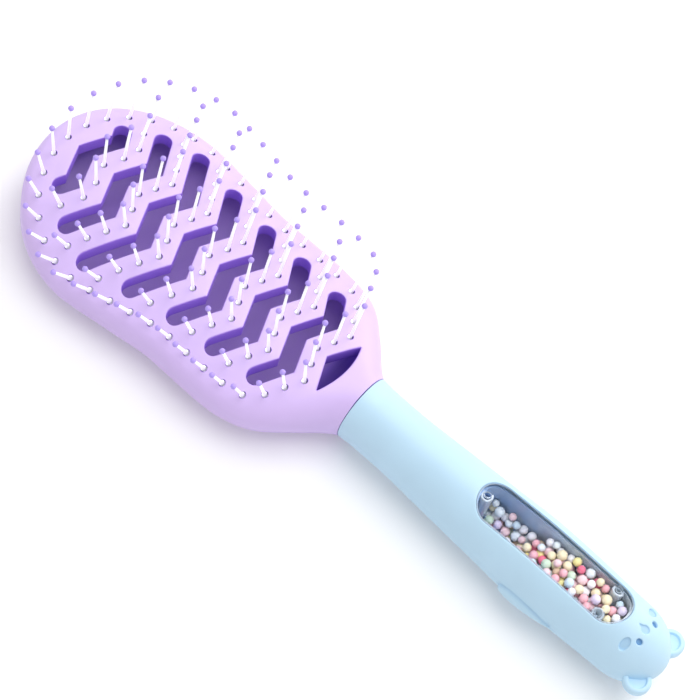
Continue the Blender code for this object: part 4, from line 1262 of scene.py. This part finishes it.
# Painted shade round the foot of each arm, like a shaded groove.
ARM_PAINTED_SHADE = 0.32
ARM_FRONT_POWER = 0.55
ARM_ENDS_POWER = 0.6
ARM_SIDES_POWER = 0.8
ARM_SHADE_POWER = 3
LEAST_SWELL = 1e-6
BOSS_SPREAD = 4.6 * MM
FRONT_BOSS = WINDOW_START + 2.4 * MM
REAR_BOSS = WINDOW_END - 7 * MM
BOSSES = ((FRONT_BOSS, 0.0), (REAR_BOSS, BOSS_SPREAD), (REAR_BOSS, -BOSS_SPREAD))
BOSS_SIDES = 24
WELL_RADIUS = 1.9 * MM
SHAFT_RADIUS = 1.1 * MM
PILLAR_RADIUS = 3.0 * MM
SEAT_HEIGHT = 2.2 * MM
PILLAR_TOP = 6.5 * MM


def arm_swell(place):
    """How full the arm is at a distance from the seam, from 0 at its ends to 1."""
    share = np.clip((place - ARM_START) / ARM_LENGTH, 0, 1)
    return np.maximum(np.sin(math.pi * share ** ARM_FRONT_POWER), LEAST_SWELL)


def arm_edge(places, swell):
    """Flat place round the handle of a height within the arm."""
    height = -ARM_LOW + ARM_HALF * swell
    return np.arccos(np.clip(-height / (TALL * handle_half(places)), 0, 1)) * GIRTH


def arm_loop(side):
    """Flat loop round one arm, a leaf just under the parting line."""
    places = np.linspace(ARM_START + ARM_TRIM, ARM_START + ARM_LENGTH - ARM_TRIM, ARM_POINTS)
    upper = np.stack([places, arm_edge(places, arm_swell(places))], -1)
    lower = np.stack([places, arm_edge(places, -arm_swell(places))], -1)
    return np.concatenate([upper, lower[::-1]]) * (1, side)


def off_edge(along, round_it):
    """How far a flat point of the arm is from its edge, from 0 to 1."""
    height = -TALL * handle_half(along) * np.cos(round_it / GIRTH)
    return np.clip(1 - ((height + ARM_LOW) / (ARM_HALF * arm_swell(along))) ** 2, 0, 1)


def raised(along, round_it):
    """World points of the arm, which swells out of the skin."""
    proud = ARM_PROUD * arm_swell(along) ** ARM_ENDS_POWER * off_edge(along, round_it) ** ARM_SIDES_POWER
    return rolled(along, round_it, -1) + outwards(along, round_it, -1) * proud[:, None]


def arm_shade(along, round_it):
    """Painted shade of the arm, darker towards its foot."""
    return ARM_PAINTED_SHADE * (1 - off_edge(along, round_it)) ** ARM_SHADE_POWER


def plan_circle(centre, radius, points=BOSS_SIDES):
    """Closed loop (place, across) round a centre."""
    return np.array(centre) + circle(points) * radius


def level(plan, height):
    """World points of a plan loop at a height above the axis."""
    return np.stack([plan[:, 0] + SEAM_X, plan[:, 1], np.full(len(plan), height + AXIS_Z)], -1)


def handle_back():
    """The closed back shell of the handle, with its arms and screw wells."""
    shell = Shell()
    wells, pillars, shafts = [[plan_circle(boss, radius) for boss in BOSSES]
                              for radius in (WELL_RADIUS, PILLAR_RADIUS, SHAFT_RADIUS)]
    arms = [arm_loop(side) for side in (-1, 1)]
    outer_holes = [unrolled(*well.T) for well in wells] + arms
    outer, inner = lay_shell(shell, -1, outer_holes, [unrolled_inside(pillar) for pillar in pillars])
    seat = SEAT_HEIGHT - AXIS_Z
    for start, end, well, pillar, shaft in zip(outer, inner, wells, pillars, shafts):
        steps = ((well, seat), (shaft, seat), (shaft, -PILLAR_TOP), (pillar, -PILLAR_TOP))
        # The walls of the screw wells are painted in full shade.
        shell.bridge(shell.walk(start, [level(*step) for step in steps], 1), end)
    for arm, foot in zip(arms, outer[-2:]):
        # Each arm is painted darker towards its foot, and the skin round it too, as painted shade.
        lay_sheet(shell, arm, [], ARM_SPACING, raised, arm_shade)
        shell.shade(foot, ARM_PAINTED_SHADE)
    return shell


back_of_handle = close_up("handle_back", handle_back(), WIDE_MERGE)

# %% [markdown]
# ## The ears
#
# An ear is a thick disc with a round edge and a round dish in its face, split by the parting line
# between the two shells. It is turned from a profile and joined to its shell.

# %% Turn the ears and join them to the shells
EAR_RADIUS = 4.1 * MM
EAR_HALF = 1.8 * MM
EAR_SPREAD = 7.7 * MM
EAR_DISH = 2.6 * MM
EAR_DISH_DEPTH = 1.0 * MM
EAR_SIDES = 40
EAR_STEPS = 8
EAR_SPLIT = 0.03 * MM
PIVOT = 0.01 * MM
BACK_ROUND = 1.2 * MM
FRONT_ROUND = EAR_RADIUS - EAR_DISH - 0.5 * MM
DISH_FLOOR = EAR_HALF - EAR_DISH_DEPTH
DISH_STEPS = (
    (DISH_FLOOR, PIVOT), (DISH_FLOOR, EAR_DISH * 0.8), (DISH_FLOOR + 0.12 * MM, EAR_DISH * 0.93),
    (EAR_HALF - 0.3 * MM, EAR_DISH), (EAR_HALF - 0.08 * MM, EAR_DISH + 0.1 * MM),
    (EAR_HALF, EAR_DISH + 0.35 * MM),
)


def ear_profile(middle, edge_round):
    """(height, radius) pairs of half an ear, from its middle at the face to its middle at the split."""
    edge = [(EAR_HALF - fall, EAR_RADIUS - inset) for inset, fall in quarter_round(edge_round, EAR_STEPS)]
    return [*middle, *edge, (EAR_SPLIT, EAR_RADIUS), (EAR_SPLIT, PIVOT)]


def ears(side, profile):
    """Both ears' halves on the front (side 1) or the back (side -1)."""
    shell = Shell()
    for across in (-1, 1):
        centre = (HANDLE_LENGTH - EAR_RADIUS + SEAM_X, across * EAR_SPREAD, AXIS_Z)
        turned = [(height * side, radius) for height, radius in profile]
        turn_closed(shell, turned, EAR_SIDES, centre, upright=True)
    return close_up("ears", shell)


def join_pieces(name, *parts):
    """One object made of several finished ones."""
    shape = bmesh.new()
    for part in parts:
        shape.from_mesh(part.data)
        bpy.data.objects.remove(part, do_unlink=True)
    mesh = bpy.data.meshes.new(name)
    shape.to_mesh(mesh)
    shape.free()
    print(name, "has", len(mesh.polygons), "faces")
    return place_object(name, mesh)


front_ears = ears(1, ear_profile(DISH_STEPS, FRONT_ROUND))
front_of_handle = join_pieces("handle_front", front_of_handle, front_ears)
back_ears = ears(-1, ear_profile([(EAR_HALF, PIVOT)], BACK_ROUND))
back_of_handle = join_pieces("handle_back", back_of_handle, back_ears)
front_of_head = join_pieces("head_front", front_of_head, tang_piece)

# %% [markdown]
# ## The clear capsule
#
# A curved cover closes the window, and under it a clear cup holds the beads and three tubes for
# the screws. Cover and cup are made like the mouldings: sheets filled between their outline and
# three bores, with walls bridged from loop to loop. The tubes could be joined to the cup with a
# boolean, but the joint doesn't show, so they are a piece of their own that stands in the cup.

# %% Close the window with the cover
COVER_SUNK = 0.3 * MM
COVER_WALL = 1.2 * MM
COVER_ROUND = 0.3 * MM
COVER_ROUND_STEPS = 5
COVER_GAP = 0.12 * MM
COVER_SPACING = 0.9 * MM
TUBE_BORE = 1.1 * MM
BORES = [plan_circle(boss, TUBE_BORE) for boss in BOSSES]


def under_skin(plan, inset):
    """World points on the handle's form, moved in by an inset, over a plan loop."""
    half = handle_half_at(plan[:, 0]) - inset
    height = TALL * np.sqrt(np.clip(half ** 2 - plan[:, 1] ** 2, 0, None))
    return np.stack([plan[:, 0] + SEAM_X, plan[:, 1], height + AXIS_Z], -1)


def on_plan(place_points, setting):
    """The lift of a sheet that is seen from above: curved under the skin, or level."""
    def lift(place, across):
        return place_points(np.stack([place, across], -1), setting)
    return lift


def cover():
    """The closed curved cover with its three bores. Its round edge takes the whiter frosted finish, a painted
    highlight of the bright edge of the clear plastic.
    """
    shell = Shell()
    bottom = COVER_SUNK + COVER_WALL
    wide = [plan_circle(boss, TUBE_BORE + COVER_ROUND / 2) for boss in BOSSES]
    outline = window_loop(-COVER_GAP - COVER_ROUND)
    top = lay_sheet(shell, outline, wide, COVER_SPACING, on_plan(under_skin, COVER_SUNK))
    low = lay_sheet(shell, window_loop(-COVER_GAP), BORES, COVER_SPACING, on_plan(under_skin, bottom))
    for bore, upper, lower in zip(BORES, top[1:], low[1:]):
        shell.bridge(shell.walk(upper, [under_skin(bore, COVER_SUNK + COVER_ROUND / 2)]), lower)
    # The round edge is frosted as a painted highlight.
    shell.mark(1)
    rings = [under_skin(window_loop(-COVER_GAP - inset), COVER_SUNK + fall)
             for inset, fall in quarter_round(COVER_ROUND, COVER_ROUND_STEPS)[1:]]
    shell.bridge(shell.walk(top[0], rings), low[0])
    return shell


cover_piece = close_up("clear_cover", cover())

# %% Mould the cup
CUP_WALL = 0.5 * MM
CUP_FLOOR = -5.0 * MM
CUP_BOTTOM = -6.2 * MM
CUP_SPACING = 2.5 * MM
LID_LINE = COVER_SUNK + COVER_WALL + SEAM_GAP
SHELL_LINE = HANDLE_WALL + SEAM_GAP
FLANGE_MARGIN = 1.0 * MM
FLANGE_UNDER = 6.0 * MM


def cup_walls():
    """The closed cup: a flange, an upright wall and a floor with three bores."""
    shell = Shell()
    outside, inside_wall = window_loop(-SEAM_GAP), window_loop(-SEAM_GAP - CUP_WALL)
    flange = window_loop(FLANGE_MARGIN)
    flange_top = under_skin(flange, SHELL_LINE)
    flange_low = flange_top.copy()
    flange_low[:, 2] = np.minimum(FLANGE_UNDER + AXIS_Z, flange_low[:, 2] - COVER_WALL / 2)
    neck_low = level(outside, 0)
    neck_low[:, 2] = flange_low[:, 2]
    shell.stack([
        level(outside, CUP_BOTTOM), neck_low, flange_low, flange_top, under_skin(outside, SHELL_LINE),
        under_skin(outside, LID_LINE), under_skin(inside_wall, LID_LINE), level(inside_wall, CUP_FLOOR),
    ])
    bottom = lay_sheet(shell, outside, BORES, CUP_SPACING, on_plan(level, CUP_BOTTOM))
    floor = lay_sheet(shell, inside_wall, BORES, CUP_SPACING, on_plan(level, CUP_FLOOR))
    for lower, upper in zip(bottom[1:], floor[1:]):
        shell.bridge(lower, upper)
    return shell


cup_piece = close_up("clear_cup", cup_walls(), WIDE_MERGE)

# %% Stand the tubes in the cup
TUBE_RADIUS = 1.85 * MM
TUBE_SIDES = 32
TUBE_GAP = 0.06 * MM
TUBE_RIM = 0.2 * MM
TUBE_PLAY = 0.05 * MM
TUBE_FOOTING = 0.4 * MM


def tubes():
    """The three tubes for the screws, each closed and bored, with a soft rim."""
    shell = Shell()
    low, top = CUP_FLOOR - TUBE_FOOTING, LID_LINE + TUBE_GAP
    hole = TUBE_BORE + TUBE_PLAY
    for boss in BOSSES:
        outer, rim, mouth, bore = [plan_circle(boss, radius, TUBE_SIDES)
                                   for radius in (TUBE_RADIUS, TUBE_RADIUS - TUBE_RIM, hole + TUBE_RIM, hole)]
        shell.mark(0)
        rows = shell.stack([level(bore, low), level(outer, low), under_skin(outer, top + TUBE_RIM),
                            under_skin(rim, top), under_skin(mouth, top), under_skin(bore, top + TUBE_RIM)])
        shell.mark(1)
        shell.bridge(rows[-1], rows[0])
    return shell


tube_piece = close_up("cup_tubes", tubes())

# %% [markdown]
# ## Beads that settle
#
# The beads are of several sizes and lie in a heap. A rigid body simulation would settle them, but
# a simple rule gives the same look: each new bead tries many places and takes the lowest one it
# can rest in. Heaps that lean on a wall come from asking for low places at one end first. A
# sloping plane keeps the settled beads under the loose ones, so the loose ones can slide over it.

# %% Drop the beads
BEAD_RADII = (1.12 * MM, 1.6 * MM)
HOLLOW_HALF = WINDOW_HALF - SEAM_GAP - CUP_WALL
SLIDE = 12 * MM
CLEAR = 0.06 * MM
TRIES = 500
MOST_MISSES = 25
PULL_TO_TOP = 0.3
PULL_TO_HEAD = 0.03
BED_START = WINDOW_START + 3 * MM
BED_TILT = 0.85
BED_MIDDLE = 0.8 * MM
LOOSE_START = WINDOW_START + 16.2 * MM
HEAP_LOW = 3.4 * MM
HEAP_CLIMB = 7.0 * MM
CLIMB_START = 15 * MM
CLIMB_LENGTH = 16 * MM


def fits_in_hollow(places, acrosses, radius, shift):
    """Whether beads stay clear of the hollow's walls and tubes after they slide by a shift."""
    places = places - shift
    past = places - np.clip(places, NEAR_CENTRE, FAR_CENTRE)
    clear = np.hypot(past, acrosses) + radius + CLEAR < HOLLOW_HALF
    for boss in BOSSES:
        clear &= np.hypot(places - boss[0], acrosses - boss[1]) > TUBE_RADIUS + radius + CLEAR
    return clear


def fits_under_cover(places, acrosses, heights, radius, shift):
    """Whether beads stay clear of the cover after they slide by a shift."""
    half = handle_half(places - shift) - LID_LINE - radius - CLEAR
    return np.hypot(acrosses, heights / TALL) < half


def settle(dice, first, last, floor, ceiling, shifts):
    """Beads (place, across, height, radius) that fill a stretch of the hollow between two rules."""
    beads = np.zeros((0, 4))
    misses = 0
    while misses < MOST_MISSES:
        radius = dice.uniform(*BEAD_RADII)
        places = dice.uniform(first, last, TRIES)
        acrosses = dice.uniform(-HOLLOW_HALF, HOLLOW_HALF, TRIES)
        fits = np.ones(TRIES, bool)
        for shift in shifts:
            fits &= fits_in_hollow(places, acrosses, radius, shift)
        heights = floor(acrosses, radius)
        highest = ceiling(places, acrosses, radius)
        if len(beads):
            apart = np.hypot(places[:, None] - beads[:, 0], acrosses[:, None] - beads[:, 1])
            touch = radius + beads[:, 3] + CLEAR / 2
            rise = beads[:, 2] + np.sqrt(np.clip(touch ** 2 - apart ** 2, 0, None))
            heights = np.maximum(heights, np.where(apart < touch, rise, CUP_FLOOR).max(1))
        for shift in shifts:
            fits &= fits_under_cover(places, acrosses, heights, radius, shift)
        fits &= heights < highest
        if not fits.any():
            misses += 1
            continue
        misses = 0
        score = heights - highest * PULL_TO_TOP + places * PULL_TO_HEAD
        best = np.argmin(np.where(fits, score, 1))
        beads = np.concatenate([beads, [[places[best], acrosses[best], heights[best], radius]]])
    return beads


def slope(acrosses, radius, side):
    """Centre heights of beads that touch the sloping plane between both kinds, from above or below."""
    return BED_MIDDLE + BED_TILT * acrosses + side * (radius + CLEAR / 2) * math.hypot(1, BED_TILT)


def bed_floor(acrosses, radius):
    """Lowest centre heights of the settled beads, which lie on the floor."""
    return np.full(len(acrosses), CUP_FLOOR + radius)


def bed_top(places, acrosses, radius):
    """Highest centre heights of the settled beads, just under the sloping plane."""
    return slope(acrosses, radius, -1)


def loose_floor(acrosses, radius):
    """Lowest centre heights of the loose beads, which slide over the sloping plane."""
    return np.maximum(slope(acrosses, radius, 1), CUP_FLOOR + radius + CLEAR)


def loose_top(places, acrosses, radius):
    """Highest centre heights of the loose beads, which climb to the cover."""
    return HEAP_LOW + HEAP_CLIMB * ease((places - WINDOW_START - CLIMB_START) / CLIMB_LENGTH) - radius


SEED = 11
dice = np.random.default_rng(SEED)
bed = settle(dice, BED_START, WINDOW_END, bed_floor, bed_top, (0,))
loose = settle(dice, LOOSE_START, WINDOW_END, loose_floor, loose_top, (0, SLIDE / 2, SLIDE))
print("settled beads:", len(bed), "loose beads:", len(loose))

# %% Make every bead from one drawing
BEAD_SIZES = {"Detail": 2, "Finish": BEAD_FINISH}
BEAD_COLOURS = (
    (0.86, 0.44, 0.50), (0.84, 0.17, 0.28), (0.88, 0.80, 0.36), (0.90, 0.79, 0.55), (0.92, 0.90, 0.94),
    (0.80, 0.86, 0.90), (0.62, 0.76, 0.86), (0.72, 0.62, 0.80), (0.60, 0.74, 0.58), (0.64, 0.47, 0.33),
    (0.88, 0.62, 0.66), (0.66, 0.36, 0.42),
)
COLOUR_SHARES = (0.13, 0.05, 0.06, 0.15, 0.16, 0.11, 0.07, 0.08, 0.04, 0.04, 0.09, 0.02)


def bead_tree():
    """A tree that puts a small ball on each point, at the point's own size."""
    tree, size = new_tree("beads", BEAD_SIZES)
    ball = add_node(tree, "GeometryNodeMeshIcoSphere", Radius=1.0, Subdivisions=size["Detail"])
    grown = add_node(tree, "GeometryNodeInputNamedAttribute", [("data_type", "FLOAT")], Name="size")
    turned = add_node(tree, "GeometryNodeInputNamedAttribute", [("data_type", "FLOAT_VECTOR")], Name="turn")
    dots = add_node(tree, "GeometryNodeMeshToPoints", Mesh=size["Points"])
    laid = add_node(tree, "GeometryNodeInstanceOnPoints", Points=dots, Instance=ball, Rotation=turned,
                    Scale=grown)
    plain = add_node(tree, "GeometryNodeRealizeInstances", Geometry=laid)
    return close_tree(tree, size, add_node(tree, "GeometryNodeSetShadeSmooth", Geometry=plain))


def make_beads(name, beads, tree):
    """One object with all beads of a list."""
    points = beads[:, :3] + (SEAM_X, 0, AXIS_Z)
    picks = dice.choice(len(BEAD_COLOURS), len(beads), p=COLOUR_SHARES)
    turns = dice.uniform(0, 2 * math.pi, (len(beads), 3))
    values = [("size", "FLOAT", beads[:, 3]), ("hue", "FLOAT_VECTOR", np.array(BEAD_COLOURS)[picks]),
              ("turn", "FLOAT_VECTOR", turns)]
    return grow(name, point_mesh(name + "_places", points, values), tree, BEAD_SIZES)


one_tree = bead_tree()
settled_beads = make_beads("settled_beads", bed, one_tree)
loose_beads = make_beads("loose_beads", loose, one_tree)

# %% [markdown]
# ## Finishes
#
# All plastics share one build: a base colour that noise varies a little, and a roughness and a
# fine bump that noise varies too, so nothing looks like a flat fill. Painted shade darkens the head
# towards the inside of its hollow, its vents and its pin holes, and the handle in its recesses,
# inside and round its arms. The pins have a painted glow that whitens them. Values stored on the
# points could be textures instead, but a stored value needs no unwrapping.

# %% Helpers for the finishes
COLOUR_SWING_SHARES = (0.95, 1.05)
LIGHTER_SHARE = 1.04
ROUGHNESS_SWING_SHARES = (0.85, 1.15)
MOTTLE_SIZE = 12
BUMP_HEIGHT = 0.05 * MM
WHITE = (1, 1, 1, 1)


def blend_colours(tree, share, first, second):
    """Output with a colour between two colours by a share."""
    mix = add_node(tree, "ShaderNodeMix", [("data_type", "RGBA")], Factor=share).node
    for label, value in (("A", first), ("B", second)):
        feed(tree, mix.inputs[label], value if isinstance(value, bpy.types.NodeSocket) else (*value, 1))
    return mix.outputs["Result"]


def stored(tree, name, output="Fac"):
    """Output with a value that is stored on the mesh."""
    return add_node(tree, "ShaderNodeAttribute", [("attribute_name", name)]).node.outputs[output]


def object_place(tree):
    """Output with the place on the object."""
    return add_node(tree, "ShaderNodeTexCoord").node.outputs["Object"]


def dress(material, colour, roughness, scale, bump, **others):
    """Give a material its colour, with noise in colour, roughness and surface, and its other values."""
    tree = material.node_tree
    place = object_place(tree)
    mottle = add_node(tree, "ShaderNodeTexNoise", Vector=place, Scale=scale / MOTTLE_SIZE, Detail=3.0)
    grain = add_node(tree, "ShaderNodeTexNoise", Vector=place, Scale=scale, Detail=4.0)
    low, high = COLOUR_SWING_SHARES
    if isinstance(colour, bpy.types.NodeSocket):
        value = add_node(tree, "ShaderNodeMapRange", Value=mottle, To_Min=low, To_Max=high)
        colour = add_node(tree, "ShaderNodeHueSaturation", Color=colour, Fac=1.0, Value=value)
    else:
        lighter = [min(channel * LIGHTER_SHARE, 1) for channel in colour]
        colour = blend_colours(tree, mottle, [channel * low for channel in colour], lighter)
    low, high = ROUGHNESS_SWING_SHARES
    rough = add_node(tree, "ShaderNodeMapRange", Value=grain, To_Min=roughness * low, To_Max=roughness * high)
    bumps = add_node(tree, "ShaderNodeBump", Height=grain, Strength=bump, Distance=BUMP_HEIGHT)
    shader = tree.nodes["Principled BSDF"]
    for label, value in {"Base_Color": colour, "Roughness": rough, "Normal": bumps, **others}.items():
        feed(tree, shader.inputs[label.replace("_", " ")], value)
    return shader


print("swing of the colour and of the roughness:", COLOUR_SWING_SHARES, ROUGHNESS_SWING_SHARES)

# %% Finish the head and the handle
# The lavender is the plastic's own colour; the violets, the indigo and the hole shade are painted shade for
# the hollow, the vent walls, the neck and the pin holes.
LAVENDER = (0.74, 0.56, 0.98)
VENT_SHADE_VIOLET = (0.44, 0.24, 0.92)
HOLLOW_SHADE_VIOLET = (0.56, 0.37, 0.86)
NECK_SHADE_INDIGO = (0.24, 0.12, 0.66)
HOLE_SHADE = (0.12, 0.06, 0.24)
PALE_BLUE = (0.57, 0.81, 0.99)
SHADE_BLUE = (0.24, 0.46, 0.72)

HEAD_FINISH = plain_material("head_plastic")
head_tree = HEAD_FINISH.node_tree
head_colour_and_shade = add_node(head_tree, "ShaderNodeValToRGB", Fac=stored(head_tree, "tint"))
ramp = head_colour_and_shade.node.color_ramp.elements
ramp[1].color = (*HOLE_SHADE, 1)
ramp[0].color = (*LAVENDER, 1)
for place, colour in ((HOLLOW_PAINTED_SHADE, HOLLOW_SHADE_VIOLET), (WALL_PAINTED_SHADE, VENT_SHADE_VIOLET), (NECK_PAINTED_SHADE, NECK_SHADE_INDIGO)):
    ramp.new(place).color = (*colour, 1)
dress(HEAD_FINISH, head_colour_and_shade, roughness=0.42, scale=900, bump=0.04)

HANDLE_FINISH = plain_material("handle_plastic")
handle_tree = HANDLE_FINISH.node_tree
# The handle's pale blue is its own colour; the deeper blue is painted shade.
handle_colour_and_shade = blend_colours(handle_tree, stored(handle_tree, "tint"), PALE_BLUE, SHADE_BLUE)
dress(HANDLE_FINISH, handle_colour_and_shade, roughness=0.45, scale=900, bump=0.05)
print("stops of colour on the head:", len(ramp))

# %% Finish the pins, the strips and the beads
NYLON = (0.97, 0.97, 0.99)
# A painted glow that makes the nylon shafts whiter, though they give no light.
NYLON_PAINTED_GLOW = 0.3
TIP_VIOLET = (0.52, 0.38, 1.0)

pin_nodes = PIN_FINISH.node_tree
tip = stored(pin_nodes, "tip")
# The shafts glow with painted light; the ball tips don't.
painted_glow = add_node(pin_nodes, "ShaderNodeMapRange", Value=tip, To_Min=NYLON_PAINTED_GLOW, To_Max=0.0)
pin_colour = blend_colours(pin_nodes, tip, NYLON, TIP_VIOLET)
dress(PIN_FINISH, pin_colour, roughness=0.42, scale=700, bump=0.01, Specular_IOR_Level=0.35,
      Emission_Color=WHITE, Emission_Strength=painted_glow)
dress(STRIP_FINISH, NYLON, roughness=0.3, scale=700, bump=0.02)
bead_colour = stored(BEAD_FINISH.node_tree, "hue", "Color")
dress(BEAD_FINISH, bead_colour, roughness=0.55, scale=1800, bump=0.15)
print("glow of the nylon:", NYLON_PAINTED_GLOW)

# %% Finish the capsule and the screws
FROST = (0.78, 0.87, 0.98)
# The cup is painted darker at its head end and lighter at its far end.
CUP_SHADED_END = (0.42, 0.61, 0.94)
CUP_LIT_END = (0.86, 0.95, 1.0)
CLEAR_TINT = (0.96, 0.98, 1.0)
CLEAR_IOR = 1.12
STEEL = (0.60, 0.60, 0.62)

FROST_FINISH = plain_material("capsule_frost")
dress(FROST_FINISH, FROST, roughness=0.25, scale=700, bump=0.03, Transmission_Weight=0.3)

CUP_FINISH = plain_material("capsule_cup")
cup_nodes = CUP_FINISH.node_tree
# Painted shade at the head end of the cup and painted light at its far end, along its length.
cup_x = add_node(cup_nodes, "ShaderNodeSeparateXYZ", Vector=object_place(cup_nodes))
cup_light_share = add_node(cup_nodes, "ShaderNodeMapRange", Value=cup_x, From_Min=WINDOW_START + SEAM_X,
                     From_Max=WINDOW_END + SEAM_X)
cup_painted_light = blend_colours(cup_nodes, cup_light_share, CUP_SHADED_END, CUP_LIT_END)
dress(CUP_FINISH, cup_painted_light, roughness=0.2, scale=700, bump=0.02, Transmission_Weight=0.2)

STEEL_FINISH = plain_material("screw_steel")
dress(STEEL_FINISH, STEEL, roughness=0.32, scale=1500, bump=0.05, Metallic=1.0)


def clear_material(name):
    """Clear plastic that lets lamp light straight through, so the beads inside are lit."""
    material = plain_material(name)
    tree = material.node_tree
    shader = dress(material, CLEAR_TINT, roughness=0.02, scale=120, bump=0.01, Transmission_Weight=1.0,
                   IOR=CLEAR_IOR)
    shadow = add_node(tree, "ShaderNodeLightPath").node.outputs["Is Shadow Ray"]
    through = add_node(tree, "ShaderNodeBsdfTransparent", Color=(*CLEAR_TINT, 1))
    mix = add_node(tree, "ShaderNodeMixShader", Fac=shadow)
    feed(tree, mix.node.inputs[1], shader.outputs[0])
    feed(tree, mix.node.inputs[2], through)
    feed(tree, tree.nodes["Material Output"].inputs["Surface"], mix)
    return material


CLEAR_FINISH = clear_material("capsule_clear")
print("refraction of the clear plastic:", CLEAR_IOR)

# %% [markdown]
# ## Hand the pieces over
#
# Every piece rides the body it belongs to and stands for the packed pieces it was drawn from. The
# screws keep their packed shape, which is right as it is, and only take the steel.

# %% Ride and replace every piece
PIN_NODES = ["pin_rim", *[f"pin_row_{number + 1}" for number in range(SLOT_COUNT)]]
handover = (
    (front_of_head, "brush", ["head_front_shell"], "head_plastic", [HEAD_FINISH]),
    (back_of_head, "brush", ["head_back_shell"], "head_plastic", [HEAD_FINISH]),
    (pins, "brush", PIN_NODES, "pin_nylon", []),
    (strips, "brush", PIN_NODES, "pin_nylon", []),
    (front_of_handle, "brush", ["handle_front_shell"], "handle_plastic", [HANDLE_FINISH]),
    (back_of_handle, "brush", ["handle_back_shell"], "handle_plastic", [HANDLE_FINISH]),
    (cover_piece, "brush", ["capsule_cover"], "capsule_clear", [CLEAR_FINISH, FROST_FINISH]),
    (cup_piece, "brush", ["capsule_cup"], "capsule_clear", [CUP_FINISH]),
    (tube_piece, "brush", ["capsule_cup"], "capsule_clear", [FROST_FINISH, CUP_FINISH]),
    (settled_beads, "brush", ["bead_bed"], "bead_foam", []),
    (loose_beads, "loose_beads", ["bead_layer"], "bead_foam", []),
)
for piece, body, nodes, slot, finishes in handover:
    for finish in finishes:
        piece.data.materials.append(finish)
    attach(piece, body)
    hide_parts(*nodes)
for name in ("screw_front", "screw_left", "screw_right"):
    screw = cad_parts[name]
    screw.data.materials.clear()
    screw.data.materials.append(STEEL_FINISH)
print("pieces handed over:", len(handover))

# %% [markdown]
# ## Floor, light and camera
#
# The brush lies on a plain white floor. A large soft lamp hangs over it and a smaller one stands
# low behind it, and an even white world fills the shadows. The floor glows a little where it is
# looked at, straight or through the clear plastic, so it comes out as white as in the photo and
# lights the brush no more for it.

# %% Lay the floor and light it
FLOOR_REACH = 2.0
FLOOR_WHITE = (0.92, 0.92, 0.93, 1)
FLOOR_GLOW = 0.12
WORLD_STRENGTH = 0.58
LAMP_DISTANCE = 1.2
LAMPS = (("key", (0.1, 0.2, 0.97), 1.0, 8.0), ("side", (0.15, 0.95, 0.5), 0.6, 4.0))


def make_floor():
    """A plain white floor that keeps the shadow."""
    mesh = bpy.data.meshes.new("floor")
    corners = ((-1, -1), (1, -1), (1, 1), (-1, 1))
    mesh.from_pydata([(x * FLOOR_REACH, y * FLOOR_REACH, 0) for x, y in corners], [], [(0, 1, 2, 3)])
    material = plain_material("floor")
    tree = material.node_tree
    path = add_node(tree, "ShaderNodeLightPath").node.outputs
    seen = path["Is Camera Ray"]
    for label in ("Is Glossy Ray", "Is Transmission Ray"):
        seen = sums(tree, seen, path[label], "MAXIMUM")
    values = {
        "Base Color": FLOOR_WHITE, "Roughness": 1.0, "Specular IOR Level": 0.0, "Emission Color": WHITE,
        "Emission Strength": add_node(tree, "ShaderNodeMapRange", Value=seen, To_Max=FLOOR_GLOW),
    }
    for label, value in values.items():
        feed(tree, tree.nodes["Principled BSDF"].inputs[label], value)
    mesh.materials.append(material)
    place_object("floor", mesh)


def make_lamp(name, direction, size, power):
    """A square soft lamp that shines on the brush from a direction."""
    light = bpy.data.lights.new(name, "AREA")
    light.size = size
    light.energy = power
    lamp = place_object(name, light)
    way = Vector(direction).normalized()
    lamp.location = way * LAMP_DISTANCE
    lamp.rotation_euler = way.to_track_quat("Z", "Y").to_euler()


def make_world():
    """An even white world."""
    world = bpy.data.worlds.new("white")
    world.use_nodes = True
    background = world.node_tree.nodes["Background"]
    background.inputs["Color"].default_value = WHITE
    background.inputs["Strength"].default_value = WORLD_STRENGTH
    bpy.context.scene.world = world


make_floor()
for name, direction, size, power in LAMPS:
    make_lamp(name, direction, size, power)
make_world()
print("a floor, a world and lamps:", len(LAMPS))

# %% Place the camera
RIGHT = Vector((0.742, 0.654, 0.149))
UP = Vector((-0.642, 0.629, 0.438))
CAMERA_PLACE = Vector((0.1300, -0.2938, 0.6572))
LENS = 128.57
SENSOR = 36


def make_camera():
    """A camera that sees the brush as the photograph does."""
    camera_data = bpy.data.cameras.new("camera")
    camera_data.lens = LENS
    camera_data.sensor_width = SENSOR
    camera = place_object("camera", camera_data)
    right = RIGHT.normalized()
    back = right.cross(UP).normalized()
    turn = Matrix((right, back.cross(right), back)).transposed().to_4x4()
    camera.matrix_world = Matrix.Translation(CAMERA_PLACE) @ turn
    bpy.context.scene.camera = camera


make_camera()
bpy.context.scene.view_settings.view_transform = "Standard"
print("camera with a lens of", LENS, "mm in place")
